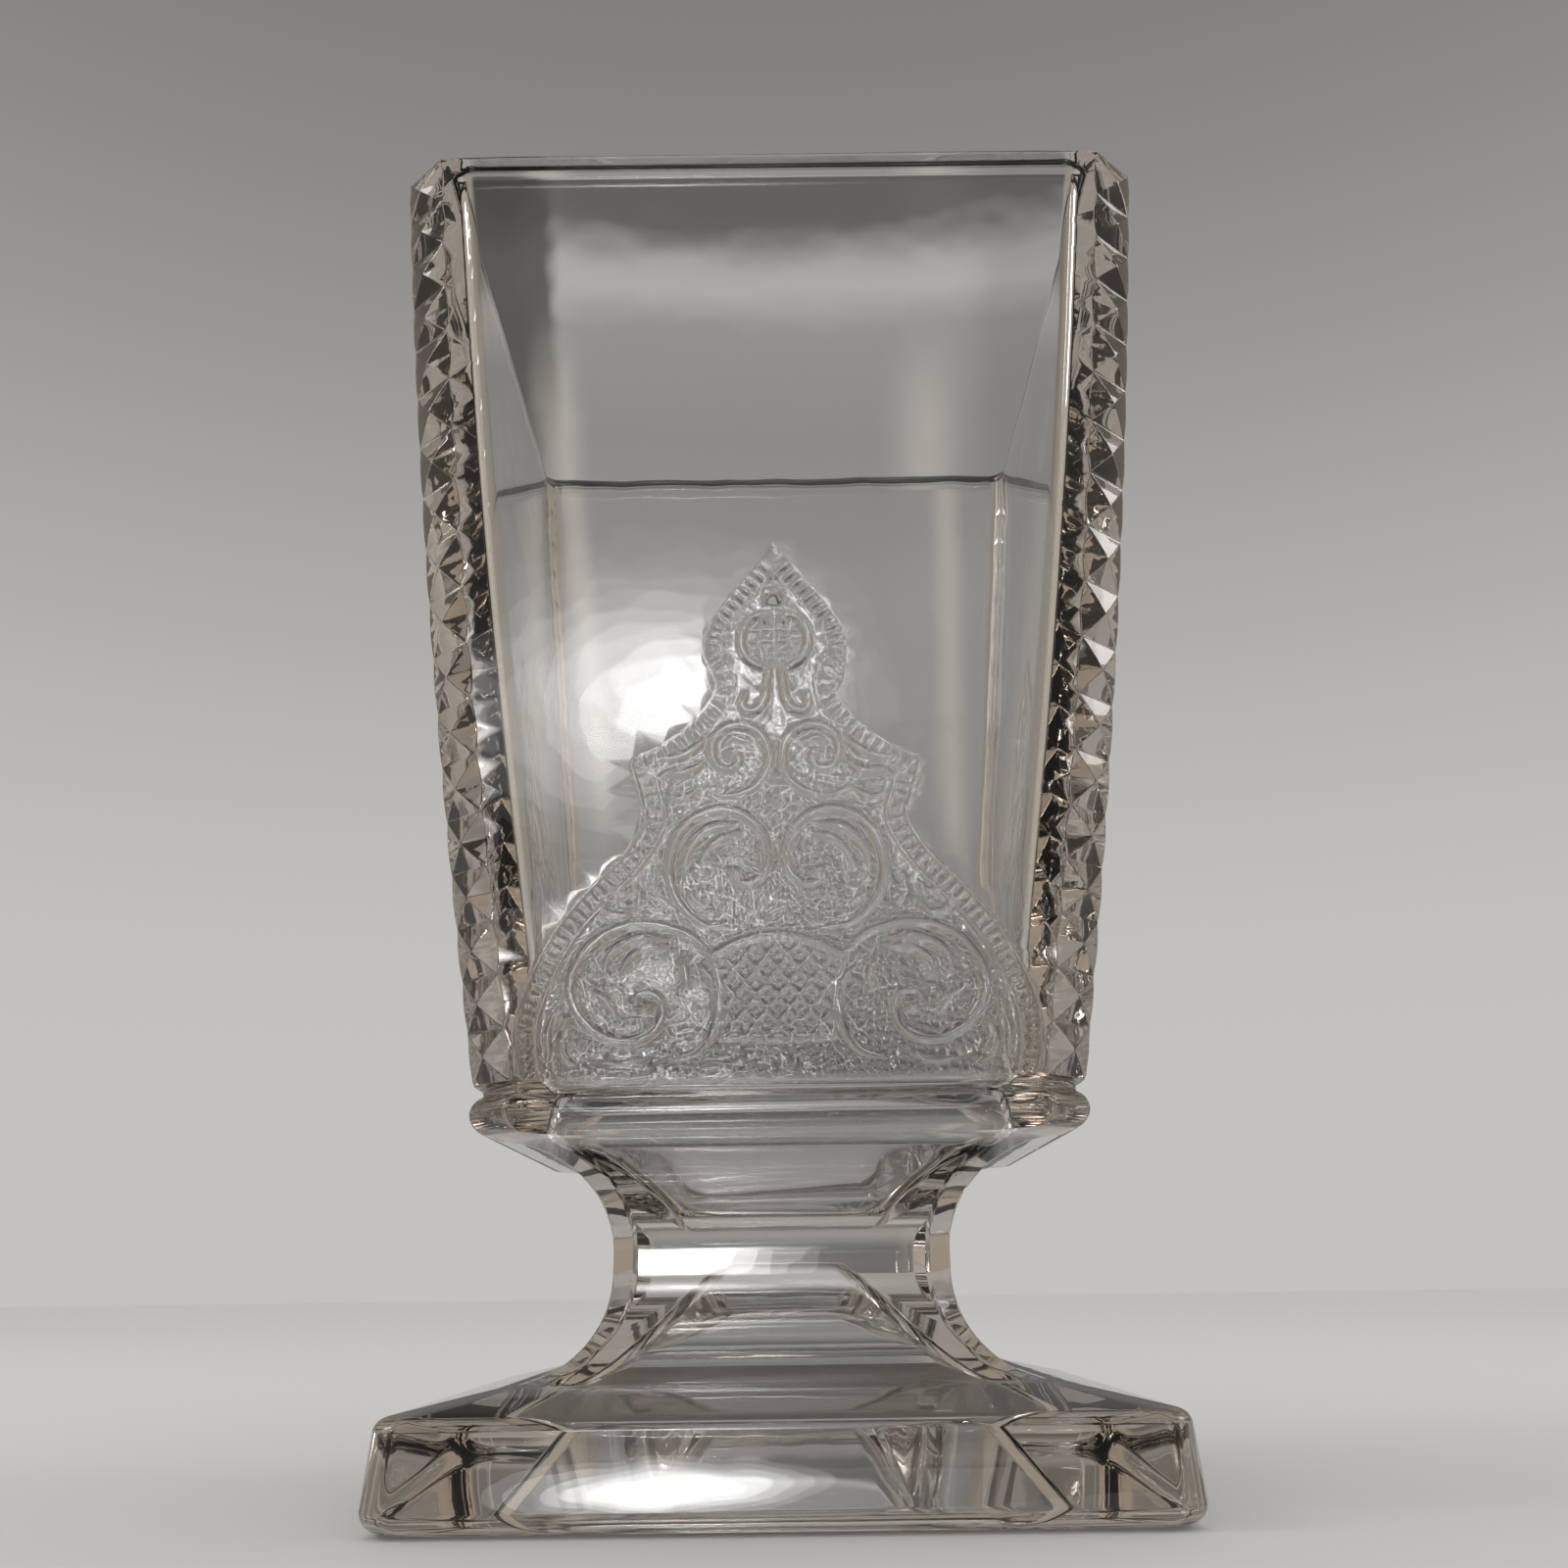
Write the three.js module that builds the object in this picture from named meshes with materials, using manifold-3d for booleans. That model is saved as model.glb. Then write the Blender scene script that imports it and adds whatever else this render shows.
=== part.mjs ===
// A square pedestal vase of clear pressed glass, upright on its foot, in millimetres with +Z up.
// The origin is the middle of the foot's underside. The glass is one casting, and it is
// divided here at the planes where its regions meet: foot, stem, collar, four panels and four
// corner columns.
import * as THREE from 'three';
import { mergeVertices } from 'three/addons/utils/BufferGeometryUtils.js';
import Module from 'manifold-3d';

const wasm = await Module();
wasm.setup();

// Heights, stacked from the table up
const footEdgeHeight = 9.2;
const footSlopeHeight = 1.7;
const lowerCoveHeight = 9.8;
const neckHeight = 2.2;
const upperCoveHeight = 10.3;
const collarHeight = 4.8;
const bowlHeight = 97;

// Widths across the flats
const footWidth = 71.5;
const footEdgeTopWidth = 70.4;
const footSlopeTopWidth = 52;
const neckWidth = 33.6;
const collarUndersideWidth = 54.8;
const collarWidth = 59.3;
const collarTopWidth = 57.2;
const bowlBottomWidth = 58.6;
const rimWidth = 78.3;
const bowlSideBow = 0.9;

// Corners and small roundings
const cornerCut = 4;
const stemTopCornerCut = 6.2;
const neckCornerCut = 2.4;
const footCornerRadius = 3;
const footEdgeRound = 1.4;
const rimRound = 0.8;

// Glass thicknesses and the two hollows
const rimWall = 5.3;
const bowlBottomWall = 6.6;
const cavityCornerRadius = 2;
const wellShoulderDrop = 3.5;
const wellShoulderTaper = 1.4;
const wellFloorWall = 6.5;
const wellFloorRound = 1;
const webThickness = 5.1;
const footRimWidth = 9.4;
const hollowNeckWall = 10;
const hollowCornerRadius = 2;
const hollowTopRound = 1.2;

// Pyramid points down each corner
const pointsPerColumn = 18;
const pointGradeShare = 0.08;
const pointHeight = 0.7;
const pointProud = 0.25;
const pointSeatWidth = 0.3;

// Raised ornament on the lower half of each panel, its heights counted from the panel's bottom
const reliefHeight = 0.6;
const reliefSink = 0.5;
const lineWidth = 1;
const borderWidth = 1.5;
const borderHalfWidth = 24.6;
const borderHeight = 52.4;
const largeScrollRadius = 6.6;
const largeScrollOffset = 13.3;
const largeScrollHeight = 8.2;
const middleScrollRadius = 4.9;
const middleScrollOffset = 5.6;
const middleScrollHeight = 19.8;
const smallScrollRadius = 2.9;
const smallScrollOffset = 3.6;
const smallScrollHeight = 30.3;
const bellHeight = 42;
const bellHalfWidth = 2.7;
const bellHalfHeight = 3;
const bellTailDrop = 7.1;
const bellTailReach = 3.3;
const beadHeight = 46.7;
const beadRadius = 0.9;
const latticeHeight = 3.8;
const latticeHalfWidth = 6;
const latticeRise = 7.5;
const latticeArchRise = 2;
const latticeBarWidth = 0.7;
const latticeBars = 3;

// Places that follow from the sizes above
const footTop = footEdgeHeight + footSlopeHeight;
const neckBottom = footTop + lowerCoveHeight;
const neckTop = neckBottom + neckHeight;
const stemTop = neckTop + upperCoveHeight;
const bowlBottom = stemTop + collarHeight;
const vaseHeight = bowlBottom + bowlHeight;
const hollowCeiling = neckBottom + neckHeight / 2;
const wellFloor = hollowCeiling + webThickness;

// Right half of the border, as shares of its half width and height
const borderShares = [
  [0, 1], [0.07, 0.954], [0.175, 0.897], [0.265, 0.838], [0.29, 0.78], [0.24, 0.73], [0.256, 0.69],
  [0.35, 0.641], [0.565, 0.576], [0.524, 0.492], [0.512, 0.464], [0.593, 0.4], [0.715, 0.344],
  [0.84, 0.275],
];

// Right tail of the bell, as shares of its reach and drop
const tailShares = [[0.2, 0.4], [0.3, 0.75], [0.6, 1], [1, 0.92]];

// How the scrolls wind: the radius that they end with as a share of the first, and turns of a circle
const largeWindingShares = { end: 0.2, start: 0.6, turns: -1.7 };
const middleWindingShares = { end: 0.3, start: -0.3, turns: 1.1 };
const smallWindingShares = { end: 0.4, start: -0.25, turns: 1.1 };
const bellOpenShare = 0.02;

// Forms of the collar's nose and of the well, as shares of their heights and widths
const noseRadiusShare = 0.42;
const noseHeightShare = 0.44;
const noseArcShares = { from: -0.42, to: 0.36 };
const collarCutShare = 0.5;
const wellCurveShare = { across: 0.35, up: 0.7 };
const roundShare = 1 - Math.SQRT1_2;
const flatShare = 0.5;

// Steps used for round stretches
const coveSteps = 6;
const noseSteps = 5;
const wellSteps = 5;
const windingStepsPerTurn = 15;
const bellSteps = 12;
const discSteps = 4;

// Half width of the bowl's outside at height z, gently bowed between its bottom and the rim
function bowlHalf(z) {
  const share = (z - bowlBottom) / bowlHeight;
  const chord = THREE.MathUtils.lerp(bowlBottomWidth, rimWidth, share) / 2;
  return chord + bowlSideBow * 4 * share * (1 - share);
}

// Half width of the bowl's inside at height z
function cavityHalf(z) {
  const share = (z - bowlBottom) / bowlHeight;
  return bowlHalf(z) - THREE.MathUtils.lerp(bowlBottomWall, rimWall, share);
}

// Levels of the bowl: a valley, a peak, a valley and so on up the columns, then the rounded rim
function bowlLevels() {
  const levels = [];
  const halves = 2 * pointsPerColumn;
  for (let i = 0; i <= halves; i++) {
    const share = i / halves;
    const graded = share - pointGradeShare * Math.sin(2 * Math.PI * share) / (2 * Math.PI);
    levels.push({ z: bowlBottom + bowlHeight * graded, rise: i % 2, ease: 0 });
  }
  const top = levels.pop();
  const peak = levels.at(-1);
  const shoulder = Math.max(vaseHeight - rimRound, (peak.z + top.z) / 2);
  const rise = (top.z - shoulder) / (top.z - peak.z);
  levels.push({ z: shoulder, rise, ease: 0 });
  levels.push({ z: top.z, rise: 0, ease: Math.min(rimRound, rimWall / 4) });
  return levels;
}

// A closed body through rings of equal count, each counterclockwise from above, lowest first
function loft(rings) {
  const count = rings[0].length;
  const last = rings.length - 1;
  const positions = rings.flat().flatMap((p) => [p.x, p.y, p.z]);
  const index = [];
  for (let k = 0; k < last; k++) {
    for (let i = 0; i < count; i++) {
      const j = (i + 1) % count;
      const a = k * count + i;
      const b = k * count + j;
      index.push(a, b, b + count, a, b + count, a + count);
    }
  }
  const flatRing = rings[0].map((p) => new THREE.Vector2(p.x, p.y));
  for (const [a, b, c] of THREE.ShapeUtils.triangulateShape(flatRing, [])) {
    index.push(a, c, b);
    index.push(last * count + a, last * count + b, last * count + c);
  }
  return indexedGeometry(positions, index);
}

// A square counterpart of a lathe. Each step of the profile is a ring with its corners cut or
// rounded, or a point on the axis when its half width is zero.
function squareLathe(profile, closed) {
  const positions = [];
  const index = [];
  const rows = profile.map((step) => {
    const ring = step.half === 0 ? [new THREE.Vector3(0, 0, step.z)] : squareRing(step);
    const first = positions.length / 3;
    positions.push(...ring.flatMap((p) => [p.x, p.y, p.z]));
    return { first, count: ring.length };
  });
  const joins = closed ? rows.length : rows.length - 1;
  for (let k = 0; k < joins; k++) {
    const low = rows[k];
    const high = rows[(k + 1) % rows.length];
    const sides = Math.max(low.count, high.count);
    for (let i = 0; i < sides; i++) {
      const j = (i + 1) % sides;
      if (low.count > 1) index.push(low.first + i, low.first + j, high.first + j % high.count);
      if (high.count > 1) index.push(low.first + i % low.count, high.first + j, high.first + i);
    }
  }
  return indexedGeometry(positions, index);
}

// Twelve points of a square with three at each corner, counterclockwise from above
function squareRing({ half, cut, share, z }) {
  const corner = [
    [half - cut, -half],
    [half - cut * share, -half + cut * share],
    [half, -half + cut],
  ];
  const turns = [[1, 0], [0, 1], [-1, 0], [0, -1]];
  const turned = ([x, y], [c, s]) => new THREE.Vector3(c * x - s * y, s * x + c * y, z);
  return turns.flatMap((turn) => corner.map((point) => turned(point, turn)));
}

function indexedGeometry(positions, index) {
  const geometry = new THREE.BufferGeometry();
  geometry.setAttribute('position', new THREE.Float32BufferAttribute(positions, 3));
  geometry.setIndex(index);
  return geometry;
}

// Points of a quarter round from one point to another that bends around a hollow centre
function coveArc(centre, radius, from, to, steps) {
  const arc = new THREE.Path().absellipse(centre.x, centre.y, radius.x, radius.y, from, to, from > to);
  return arc.getPoints(steps);
}

// Outside of the stem from the foot's slope to the collar, as half widths and heights
function stemOutline() {
  const neckHalf = neckWidth / 2;
  const lowerReach = footSlopeTopWidth / 2 - neckHalf;
  const upperReach = collarUndersideWidth / 2 - neckHalf;
  const lowerCentre = new THREE.Vector2(neckHalf + lowerReach, neckBottom);
  const upperCentre = new THREE.Vector2(neckHalf + upperReach, neckTop);
  const lowerSize = new THREE.Vector2(lowerReach, lowerCoveHeight);
  const upperSize = new THREE.Vector2(upperReach, upperCoveHeight);
  return [
    ...coveArc(lowerCentre, lowerSize, 1.5 * Math.PI, Math.PI, coveSteps),
    ...coveArc(upperCentre, upperSize, Math.PI, 0.5 * Math.PI, coveSteps),
  ];
}

// The cut of the stem's corners, widest under the collar and least at the neck
function stemCut({ x, y }) {
  if (y < neckBottom) {
    return THREE.MathUtils.mapLinear(y, footTop, neckBottom, footCornerRadius, neckCornerCut);
  }
  const share = (x - neckWidth / 2) / (collarUndersideWidth / 2 - neckWidth / 2);
  return THREE.MathUtils.lerp(neckCornerCut, stemTopCornerCut, share * share);
}

// The cut of the collar's corners, from the stem's at its underside to the bowl's
function collarCut({ y }) {
  const share = (y - stemTop) / collarHeight;
  return THREE.MathUtils.lerp(stemTopCornerCut, cornerCut, Math.min(1, share / collarCutShare));
}

// Inside of the bowl's lower end, from its floor up to the joint with the panels
function wellOutline() {
  const floorHalf = neckWidth / 2 - wellFloorWall;
  const shoulderHalf = cavityHalf(bowlBottom) - wellShoulderTaper;
  const shoulderZ = bowlBottom - wellShoulderDrop;
  const start = new THREE.Vector2(floorHalf + wellFloorRound, wellFloor + wellFloorRound);
  const end = new THREE.Vector2(shoulderHalf, shoulderZ);
  const bend = new THREE.Vector2(
    THREE.MathUtils.lerp(start.x, end.x, wellCurveShare.across),
    THREE.MathUtils.lerp(start.y, end.y, wellCurveShare.up),
  );
  const wall = new THREE.QuadraticBezierCurve(start, bend, end).getPoints(wellSteps);
  return [
    new THREE.Vector2(floorHalf, wellFloor),
    ...wall,
    new THREE.Vector2(cavityHalf(bowlBottom), bowlBottom),
  ];
}

// The hollow under the foot, from the table up to its ceiling in the neck
function hollowOutline() {
  const topHalf = neckWidth / 2 - hollowNeckWall;
  return [
    new THREE.Vector2(footWidth / 2 - footRimWidth, 0),
    new THREE.Vector2(topHalf + hollowTopRound, hollowCeiling - hollowTopRound),
    new THREE.Vector2(topHalf, hollowCeiling),
  ];
}

// The stretch of an outline, rising in height, between two heights
function stretch(outline, low, high) {
  const at = (z) => {
    const k = Math.max(1, outline.findIndex((p) => p.y >= z));
    const [a, b] = [outline[k - 1], outline[k]];
    return new THREE.Vector2(THREE.MathUtils.mapLinear(z, a.y, b.y, a.x, b.x), z);
  };
  return [at(low), ...outline.filter((p) => p.y > low && p.y < high), at(high)];
}

function outerSteps(outline, cutAt, share) {
  return outline.map((p) => ({ half: p.x, cut: cutAt(p), share, z: p.y }));
}

function hollowSteps(outline, radius) {
  return outline.map((p) => ({ half: p.x, cut: Math.min(radius, p.x / 2), share: roundShare, z: p.y }));
}

function footGeometry() {
  const round = Math.min(footEdgeRound, footEdgeHeight / 4, footRimWidth / 4);
  const bottom = footWidth / 2;
  const top = footEdgeTopWidth / 2;
  const outline = [
    new THREE.Vector2(bottom - round, 0),
    new THREE.Vector2(bottom - round * roundShare, round * roundShare),
    new THREE.Vector2(bottom, round),
    new THREE.Vector2(top, footEdgeHeight - round),
    new THREE.Vector2(top - round * roundShare, footEdgeHeight - round * roundShare),
    new THREE.Vector2(top - round, footEdgeHeight),
    new THREE.Vector2(footSlopeTopWidth / 2, footTop),
  ];
  const inner = stretch(hollowOutline(), 0, footTop);
  return squareLathe([
    ...outerSteps(outline, () => footCornerRadius, roundShare),
    ...hollowSteps(inner, hollowCornerRadius).reverse(),
  ], true);
}

function stemGeometry() {
  const hollow = stretch(hollowOutline(), footTop, hollowCeiling);
  const well = stretch(wellOutline(), wellFloor, stemTop);
  return squareLathe([
    { half: 0, z: hollowCeiling },
    ...hollowSteps(hollow, hollowCornerRadius).reverse(),
    ...outerSteps(stemOutline(), stemCut, flatShare),
    ...hollowSteps(well, cavityCornerRadius).reverse(),
    { half: 0, z: wellFloor },
  ], false);
}

function collarGeometry() {
  const noseRadius = collarHeight * noseRadiusShare;
  const noseHeight = stemTop + collarHeight * noseHeightShare;
  const noseCentre = new THREE.Vector2(collarWidth / 2 - noseRadius, noseHeight);
  const noseSize = new THREE.Vector2(noseRadius, noseRadius);
  const { from, to } = noseArcShares;
  const outline = [
    new THREE.Vector2(collarUndersideWidth / 2, stemTop),
    ...coveArc(noseCentre, noseSize, from * Math.PI, to * Math.PI, noseSteps),
    new THREE.Vector2(collarTopWidth / 2, bowlBottom),
  ];
  const inner = stretch(wellOutline(), stemTop, bowlBottom);
  return squareLathe([
    ...outerSteps(outline, collarCut, flatShare),
    ...hollowSteps(inner, cavityCornerRadius).reverse(),
  ], true);
}

// Half width of a panel, up to where the inside corner starts to round
function panelHalf(z) {
  return cavityHalf(z) - cavityCornerRadius;
}

function panelRing({ z, ease }) {
  const side = panelHalf(z) + ease;
  const outer = bowlHalf(z) - ease;
  const inner = cavityHalf(z) + ease;
  return [[-side, -outer], [side, -outer], [side, -inner], [-side, -inner]].map(
    ([x, y]) => new THREE.Vector3(x, y, z),
  );
}

// One level of the front right corner: a flat strip, the pyramid points and the inside corner
function columnRing({ z, rise, ease }) {
  const outer = bowlHalf(z) - ease;
  const edge = outer - cornerCut;
  const inner = cavityHalf(z) + ease;
  const side = panelHalf(z) + ease;
  const proud = pointProud * rise;
  const seat = edge - pointSeatWidth - pointProud;
  const lip = edge - pointSeatWidth * rise;
  const peak = outer - cornerCut / 2 + pointHeight * rise * Math.SQRT1_2;
  const bend = inner - cavityCornerRadius * roundShare;
  return [
    [side, -outer], [seat, -outer], [lip, -outer - proud], [peak, -peak], [outer + proud, -lip],
    [outer, -seat], [outer, -side], [inner, -side], [bend, -bend], [side, -inner],
  ].map(([x, y]) => new THREE.Vector3(x, y, z));
}

// A flat ribbon along a bent line, as an outline in the panel's plane
function ribbon(points, width) {
  const left = [];
  const right = [];
  points.forEach((point, i) => {
    const before = points[Math.max(i - 1, 0)];
    const after = points[Math.min(i + 1, points.length - 1)];
    const along = after.clone().sub(before).normalize();
    const across = new THREE.Vector2(-along.y, along.x).multiplyScalar(width / 2);
    left.push(point.clone().add(across));
    right.push(point.clone().sub(across));
  });
  return new THREE.Shape([...left, ...right.reverse()]);
}

// A round that winds in towards its centre
function winding(x, y, radius, { end, start, turns }) {
  const points = [];
  const centre = new THREE.Vector2(x, y);
  const steps = Math.ceil(Math.abs(turns) * windingStepsPerTurn);
  for (let i = 0; i <= steps; i++) {
    const share = i / steps;
    const angle = 2 * Math.PI * (start + turns * share);
    const reach = radius * THREE.MathUtils.lerp(1, end, share * share);
    points.push(new THREE.Vector2(Math.cos(angle), Math.sin(angle)).multiplyScalar(reach).add(centre));
  }
  return points;
}

function mirrored(points) {
  return points.map((p) => new THREE.Vector2(-p.x, p.y));
}

// Lines of the ornament that come in mirrored pairs, each with its width
function pairedLines() {
  const border = borderShares.map(([x, y]) => new THREE.Vector2(x * borderHalfWidth, y * borderHeight));
  const tail = tailShares.map(
    ([x, drop]) => new THREE.Vector2(x * bellTailReach, bellHeight - drop * bellTailDrop),
  );
  const large = winding(largeScrollOffset, largeScrollHeight, largeScrollRadius, largeWindingShares);
  const middle = winding(middleScrollOffset, middleScrollHeight, middleScrollRadius, middleWindingShares);
  const small = winding(smallScrollOffset, smallScrollHeight, smallScrollRadius, smallWindingShares);
  return [
    [border, borderWidth],
    [large, lineWidth],
    [middle, lineWidth],
    [small, lineWidth],
    [tail, lineWidth],
  ];
}

// Lines of the ornament that lie across its middle, each with its width
function middleLines() {
  const bellTurn = 2 * Math.PI * (1 - bellOpenShare);
  const bell = new THREE.Path().absellipse(0, bellHeight, bellHalfWidth, bellHalfHeight, 0, bellTurn);
  const low = latticeHeight;
  const high = latticeHeight + latticeRise;
  const frame = [
    new THREE.Vector2(-latticeHalfWidth, low),
    new THREE.Vector2(-latticeHalfWidth, high),
    new THREE.Vector2(0, high + latticeArchRise),
    new THREE.Vector2(latticeHalfWidth, high),
    new THREE.Vector2(latticeHalfWidth, low),
    new THREE.Vector2(-latticeHalfWidth + lineWidth, low),
  ];
  const pitch = latticeHalfWidth * 2 / (latticeBars + 1);
  const bars = [];
  for (let i = 1; i <= latticeBars; i++) {
    const foot = new THREE.Vector2(pitch * (i - 1) - latticeHalfWidth, low);
    const head = new THREE.Vector2(pitch * (i + 1) - latticeHalfWidth, high + latticeArchRise / 2);
    bars.push([[foot, head], latticeBarWidth], [mirrored([foot, head]), latticeBarWidth]);
  }
  return [[bell.getPoints(bellSteps), lineWidth], [frame, lineWidth], ...bars];
}

// A ribbon or disc of the ornament as a flat plate
function plate(shape) {
  const settings = { depth: reliefSink + reliefHeight, bevelEnabled: false, curveSegments: discSteps };
  return solidOf(new THREE.ExtrudeGeometry(shape, settings));
}

// The flat ornament bent onto the panel's bowed face
function bentOntoPanel(solid) {
  const geometry = geometryOf(solid);
  const position = geometry.getAttribute('position');
  for (let i = 0; i < position.count; i++) {
    const z = bowlBottom + position.getY(i);
    const out = position.getZ(i) - reliefSink;
    position.setXYZ(i, position.getX(i), -bowlHalf(z) - out, z);
  }
  return solidOf(geometry);
}

function solidOf(geometry) {
  const bare = geometry.clone();
  for (const name of ['normal', 'uv']) bare.deleteAttribute(name);
  const merged = mergeVertices(bare);
  return new wasm.Manifold(new wasm.Mesh({
    numProp: 3,
    vertProperties: new Float32Array(merged.getAttribute('position').array),
    triVerts: new Uint32Array(merged.getIndex().array),
  }));
}

function geometryOf(solid) {
  const mesh = solid.getMesh();
  return indexedGeometry(Array.from(mesh.vertProperties), Array.from(mesh.triVerts));
}

// The front panel with its ornament; the other three are the same, turned
function panelGeometry() {
  const shapes = middleLines().map(([points, width]) => ribbon(points, width));
  for (const [points, width] of pairedLines()) {
    shapes.push(ribbon(points, width), ribbon(mirrored(points).reverse(), width));
  }
  shapes.push(new THREE.Shape().absarc(0, beadHeight, beadRadius, 0, 2 * Math.PI));
  const ornament = shapes.map(plate).reduce((whole, next) => whole.add(next));
  const slab = solidOf(loft(bowlLevels().map(panelRing)));
  return geometryOf(slab.add(bentOntoPanel(ornament)));
}

function glass(tint) {
  return new THREE.MeshStandardMaterial({ color: tint, roughness: 0.06, metalness: 0 });
}

const clearTint = 0xdcdad4;
const thickTint = 0xd3c6ba;

function piece(name, geometry, tint, quarterTurns = 0) {
  const mesh = new THREE.Mesh(geometry, glass(tint));
  mesh.name = name;
  mesh.rotation.z = quarterTurns * Math.PI / 2;
  return mesh;
}

const vase = new THREE.Group();
vase.add(piece('foot', footGeometry(), thickTint));
vase.add(piece('stem', stemGeometry(), clearTint));
vase.add(piece('collar', collarGeometry(), clearTint));

const panel = panelGeometry();
const column = loft(bowlLevels().map(columnRing));
const sides = ['front', 'right', 'back', 'left'];
sides.forEach((side, turn) => {
  const next = sides[(turn + 1) % sides.length];
  const corner = turn % 2 === 0 ? `${side}_${next}` : `${next}_${side}`;
  vase.add(piece(`${side}_panel`, panel, clearTint, turn));
  vase.add(piece(`${corner}_column`, column, thickTint, turn));
});

export default vase;
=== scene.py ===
import math

import bpy
import numpy as np
from mathutils import Matrix, Vector
from mathutils.geometry import delaunay_2d_cdt


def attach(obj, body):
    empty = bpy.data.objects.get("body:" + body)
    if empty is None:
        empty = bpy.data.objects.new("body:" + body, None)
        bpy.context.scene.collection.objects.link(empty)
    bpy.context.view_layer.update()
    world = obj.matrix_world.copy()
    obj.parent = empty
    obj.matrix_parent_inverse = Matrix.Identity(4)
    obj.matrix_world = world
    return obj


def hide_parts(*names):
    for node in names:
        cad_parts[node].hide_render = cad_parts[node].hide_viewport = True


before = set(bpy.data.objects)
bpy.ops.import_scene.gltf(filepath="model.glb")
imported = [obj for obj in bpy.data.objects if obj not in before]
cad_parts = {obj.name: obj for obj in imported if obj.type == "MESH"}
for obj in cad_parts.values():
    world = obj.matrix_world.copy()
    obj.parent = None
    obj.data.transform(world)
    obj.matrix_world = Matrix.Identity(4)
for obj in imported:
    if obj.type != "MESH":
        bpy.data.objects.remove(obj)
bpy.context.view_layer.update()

# Lengths are in millimetres here and become metres when a mesh is made
MM = 0.001

# Heights of the vase, from the table up
FOOT_EDGE_TOP = 9.2
FOOT_TOP = 10.9
NECK_BOTTOM = 20.7
NECK_TOP = 22.9
COLLAR_BOTTOM = 33.2
BOWL_BOTTOM = 38.0
RIM = 135.0
BOWL_HEIGHT = RIM - BOWL_BOTTOM

# Half widths across the flats
FOOT_HALF = 35.75
FOOT_EDGE_HALF = 35.2
FOOT_SLOPE_HALF = 26.0
NECK_HALF = 16.8
COLLAR_UNDER_HALF = 27.4
COLLAR_HALF = 29.65
COLLAR_TOP_HALF = 28.6
BOWL_BOTTOM_HALF = 29.3
RIM_HALF = 39.15
BOWL_BOW = 0.9

# Glass thickness, the cavity and the hollow in the foot
RIM_WALL = 5.3
BOWL_BOTTOM_WALL = 6.6
CAVITY_CORNER = 2.0
WELL_LIP = [(22.35, 36.6), (21.95, 35.4)]
WELL_SHOULDER = (21.2, 34.5)
WELL_BEND = (14.8, 32.55)
WELL_START = (11.3, 27.9)
WELL_FLOOR = (10.3, 26.9)
HOLLOW_TOP = (6.65, 21.75)
HOLLOW_MOUTH_HALF = 26.0
HOLLOW_CORNER = 2.0

# Corner cuts and edge roundings
CORNER_CUT = 4.0
STEM_TOP_CUT = 6.2
NECK_CUT = 2.4
FOOT_CUT = 1.8
FOOT_EASE = 4.0
EDGE_EASE = 0.9
RIM_ROUND = 1.0
RIM_CORNER_GAIN = 1.7
RIM_TURNS = (22.5, 45, 67.5, 90)
FOOT_BOTTOM_ROUND = 1.8
FOOT_EDGE_ROUND = 1.3
FOOT_SLOPE_INSET = 1.1
FOOT_SLOPE_SHARES = (0.12, 0.6)
COLLAR_ROUND = 1.95
COLLAR_MIDDLE = 35.35

# Steps of the two coves and levels of the bowl's inside
LOWER_COVE_STEPS = 24
UPPER_COVE_STEPS = 26
CAVITY_LEVELS = 16

# The hollow's ceiling by inset, drop and share of the corner, its walls by share of the height,
# and its mouth by step out and height
CEILING = [(0.9, 0.0, 0.6), (0.2, 0.25, 0.8)]
HOLLOW_SHARES = (0.05, 0.25, 0.5, 0.75, 0.955)
MOUTH = [(-0.3, 0.3), (0.4, 0.0)]

# Pyramid points on the cut corners
POINTS = 18
POINT_GRADE = 0.08
POINT_HEIGHT = 0.66
POINT_BULGE = 0.3
POINT_PROUD = 0.24
POINT_SEAT = 0.16
POINT_LEVELS = (0.0, 0.06, 0.36, 0.68, 0.94, 1.0, 0.94, 0.68, 0.36, 0.06)
POINT_LIFT_RANGE = (0.04, 0.96)
POINT_RIDGE_RANGE = (0.03, 0.965)
RIDGE_HALF = 0.018
RIDGE_DROPS = (0.02, 0.015)

# Ornament on each panel
CURVE_STEP = 0.25
BEAD_STEPS = 9
PATH_STEP = 0.42
GROUND_STEP = 1.15
PLAIN_STEP = 3.2
LEAST_SPACING = 0.12
PANEL_MARGIN = 0.35
PANEL_FOOT_MARGIN = 0.25
PANEL_TOP_MARGIN = 0.8
PANEL_BOTTOM_STEPS = 40
PANEL_TOP_STEPS = 12
LINE_ROWS = (0, -0.55, 0.55, -0.97, 0.97, -1.3, 1.3)
RELIEF_SQUASH = 1.05
SIDES = 4

# Rays that find the raised lines start this far in front, in metres. The stipple fades upwards.
RAY_REACH = 0.01
STIPPLE_FADE = (0.060, 0.074)
STIPPLE_ABOVE = 0.12
WELD_DISTANCE = 0.00001

# Glass
GLASS_IOR = 1.5
COAT_WEIGHT = 0.25
COAT_ROUGHNESS = 0.15
GLASS_TONE = 0.86
GROUND_TONE = 0.12
DOT_TONE = 0.28
DOT_SCALE = 1550.0
DOT_SMOOTHNESS = 0.35
DOT_HEIGHT = 0.00015
WAVE_SCALE = 90.0
WAVE_HEIGHT = 0.00005
GLASS_ROUGHNESS = 0.01
GROUND_ROUGHNESS = 0.02
TINT = (0.87, 0.765, 0.65, 1)
TINT_DENSITY = 12.0

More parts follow.
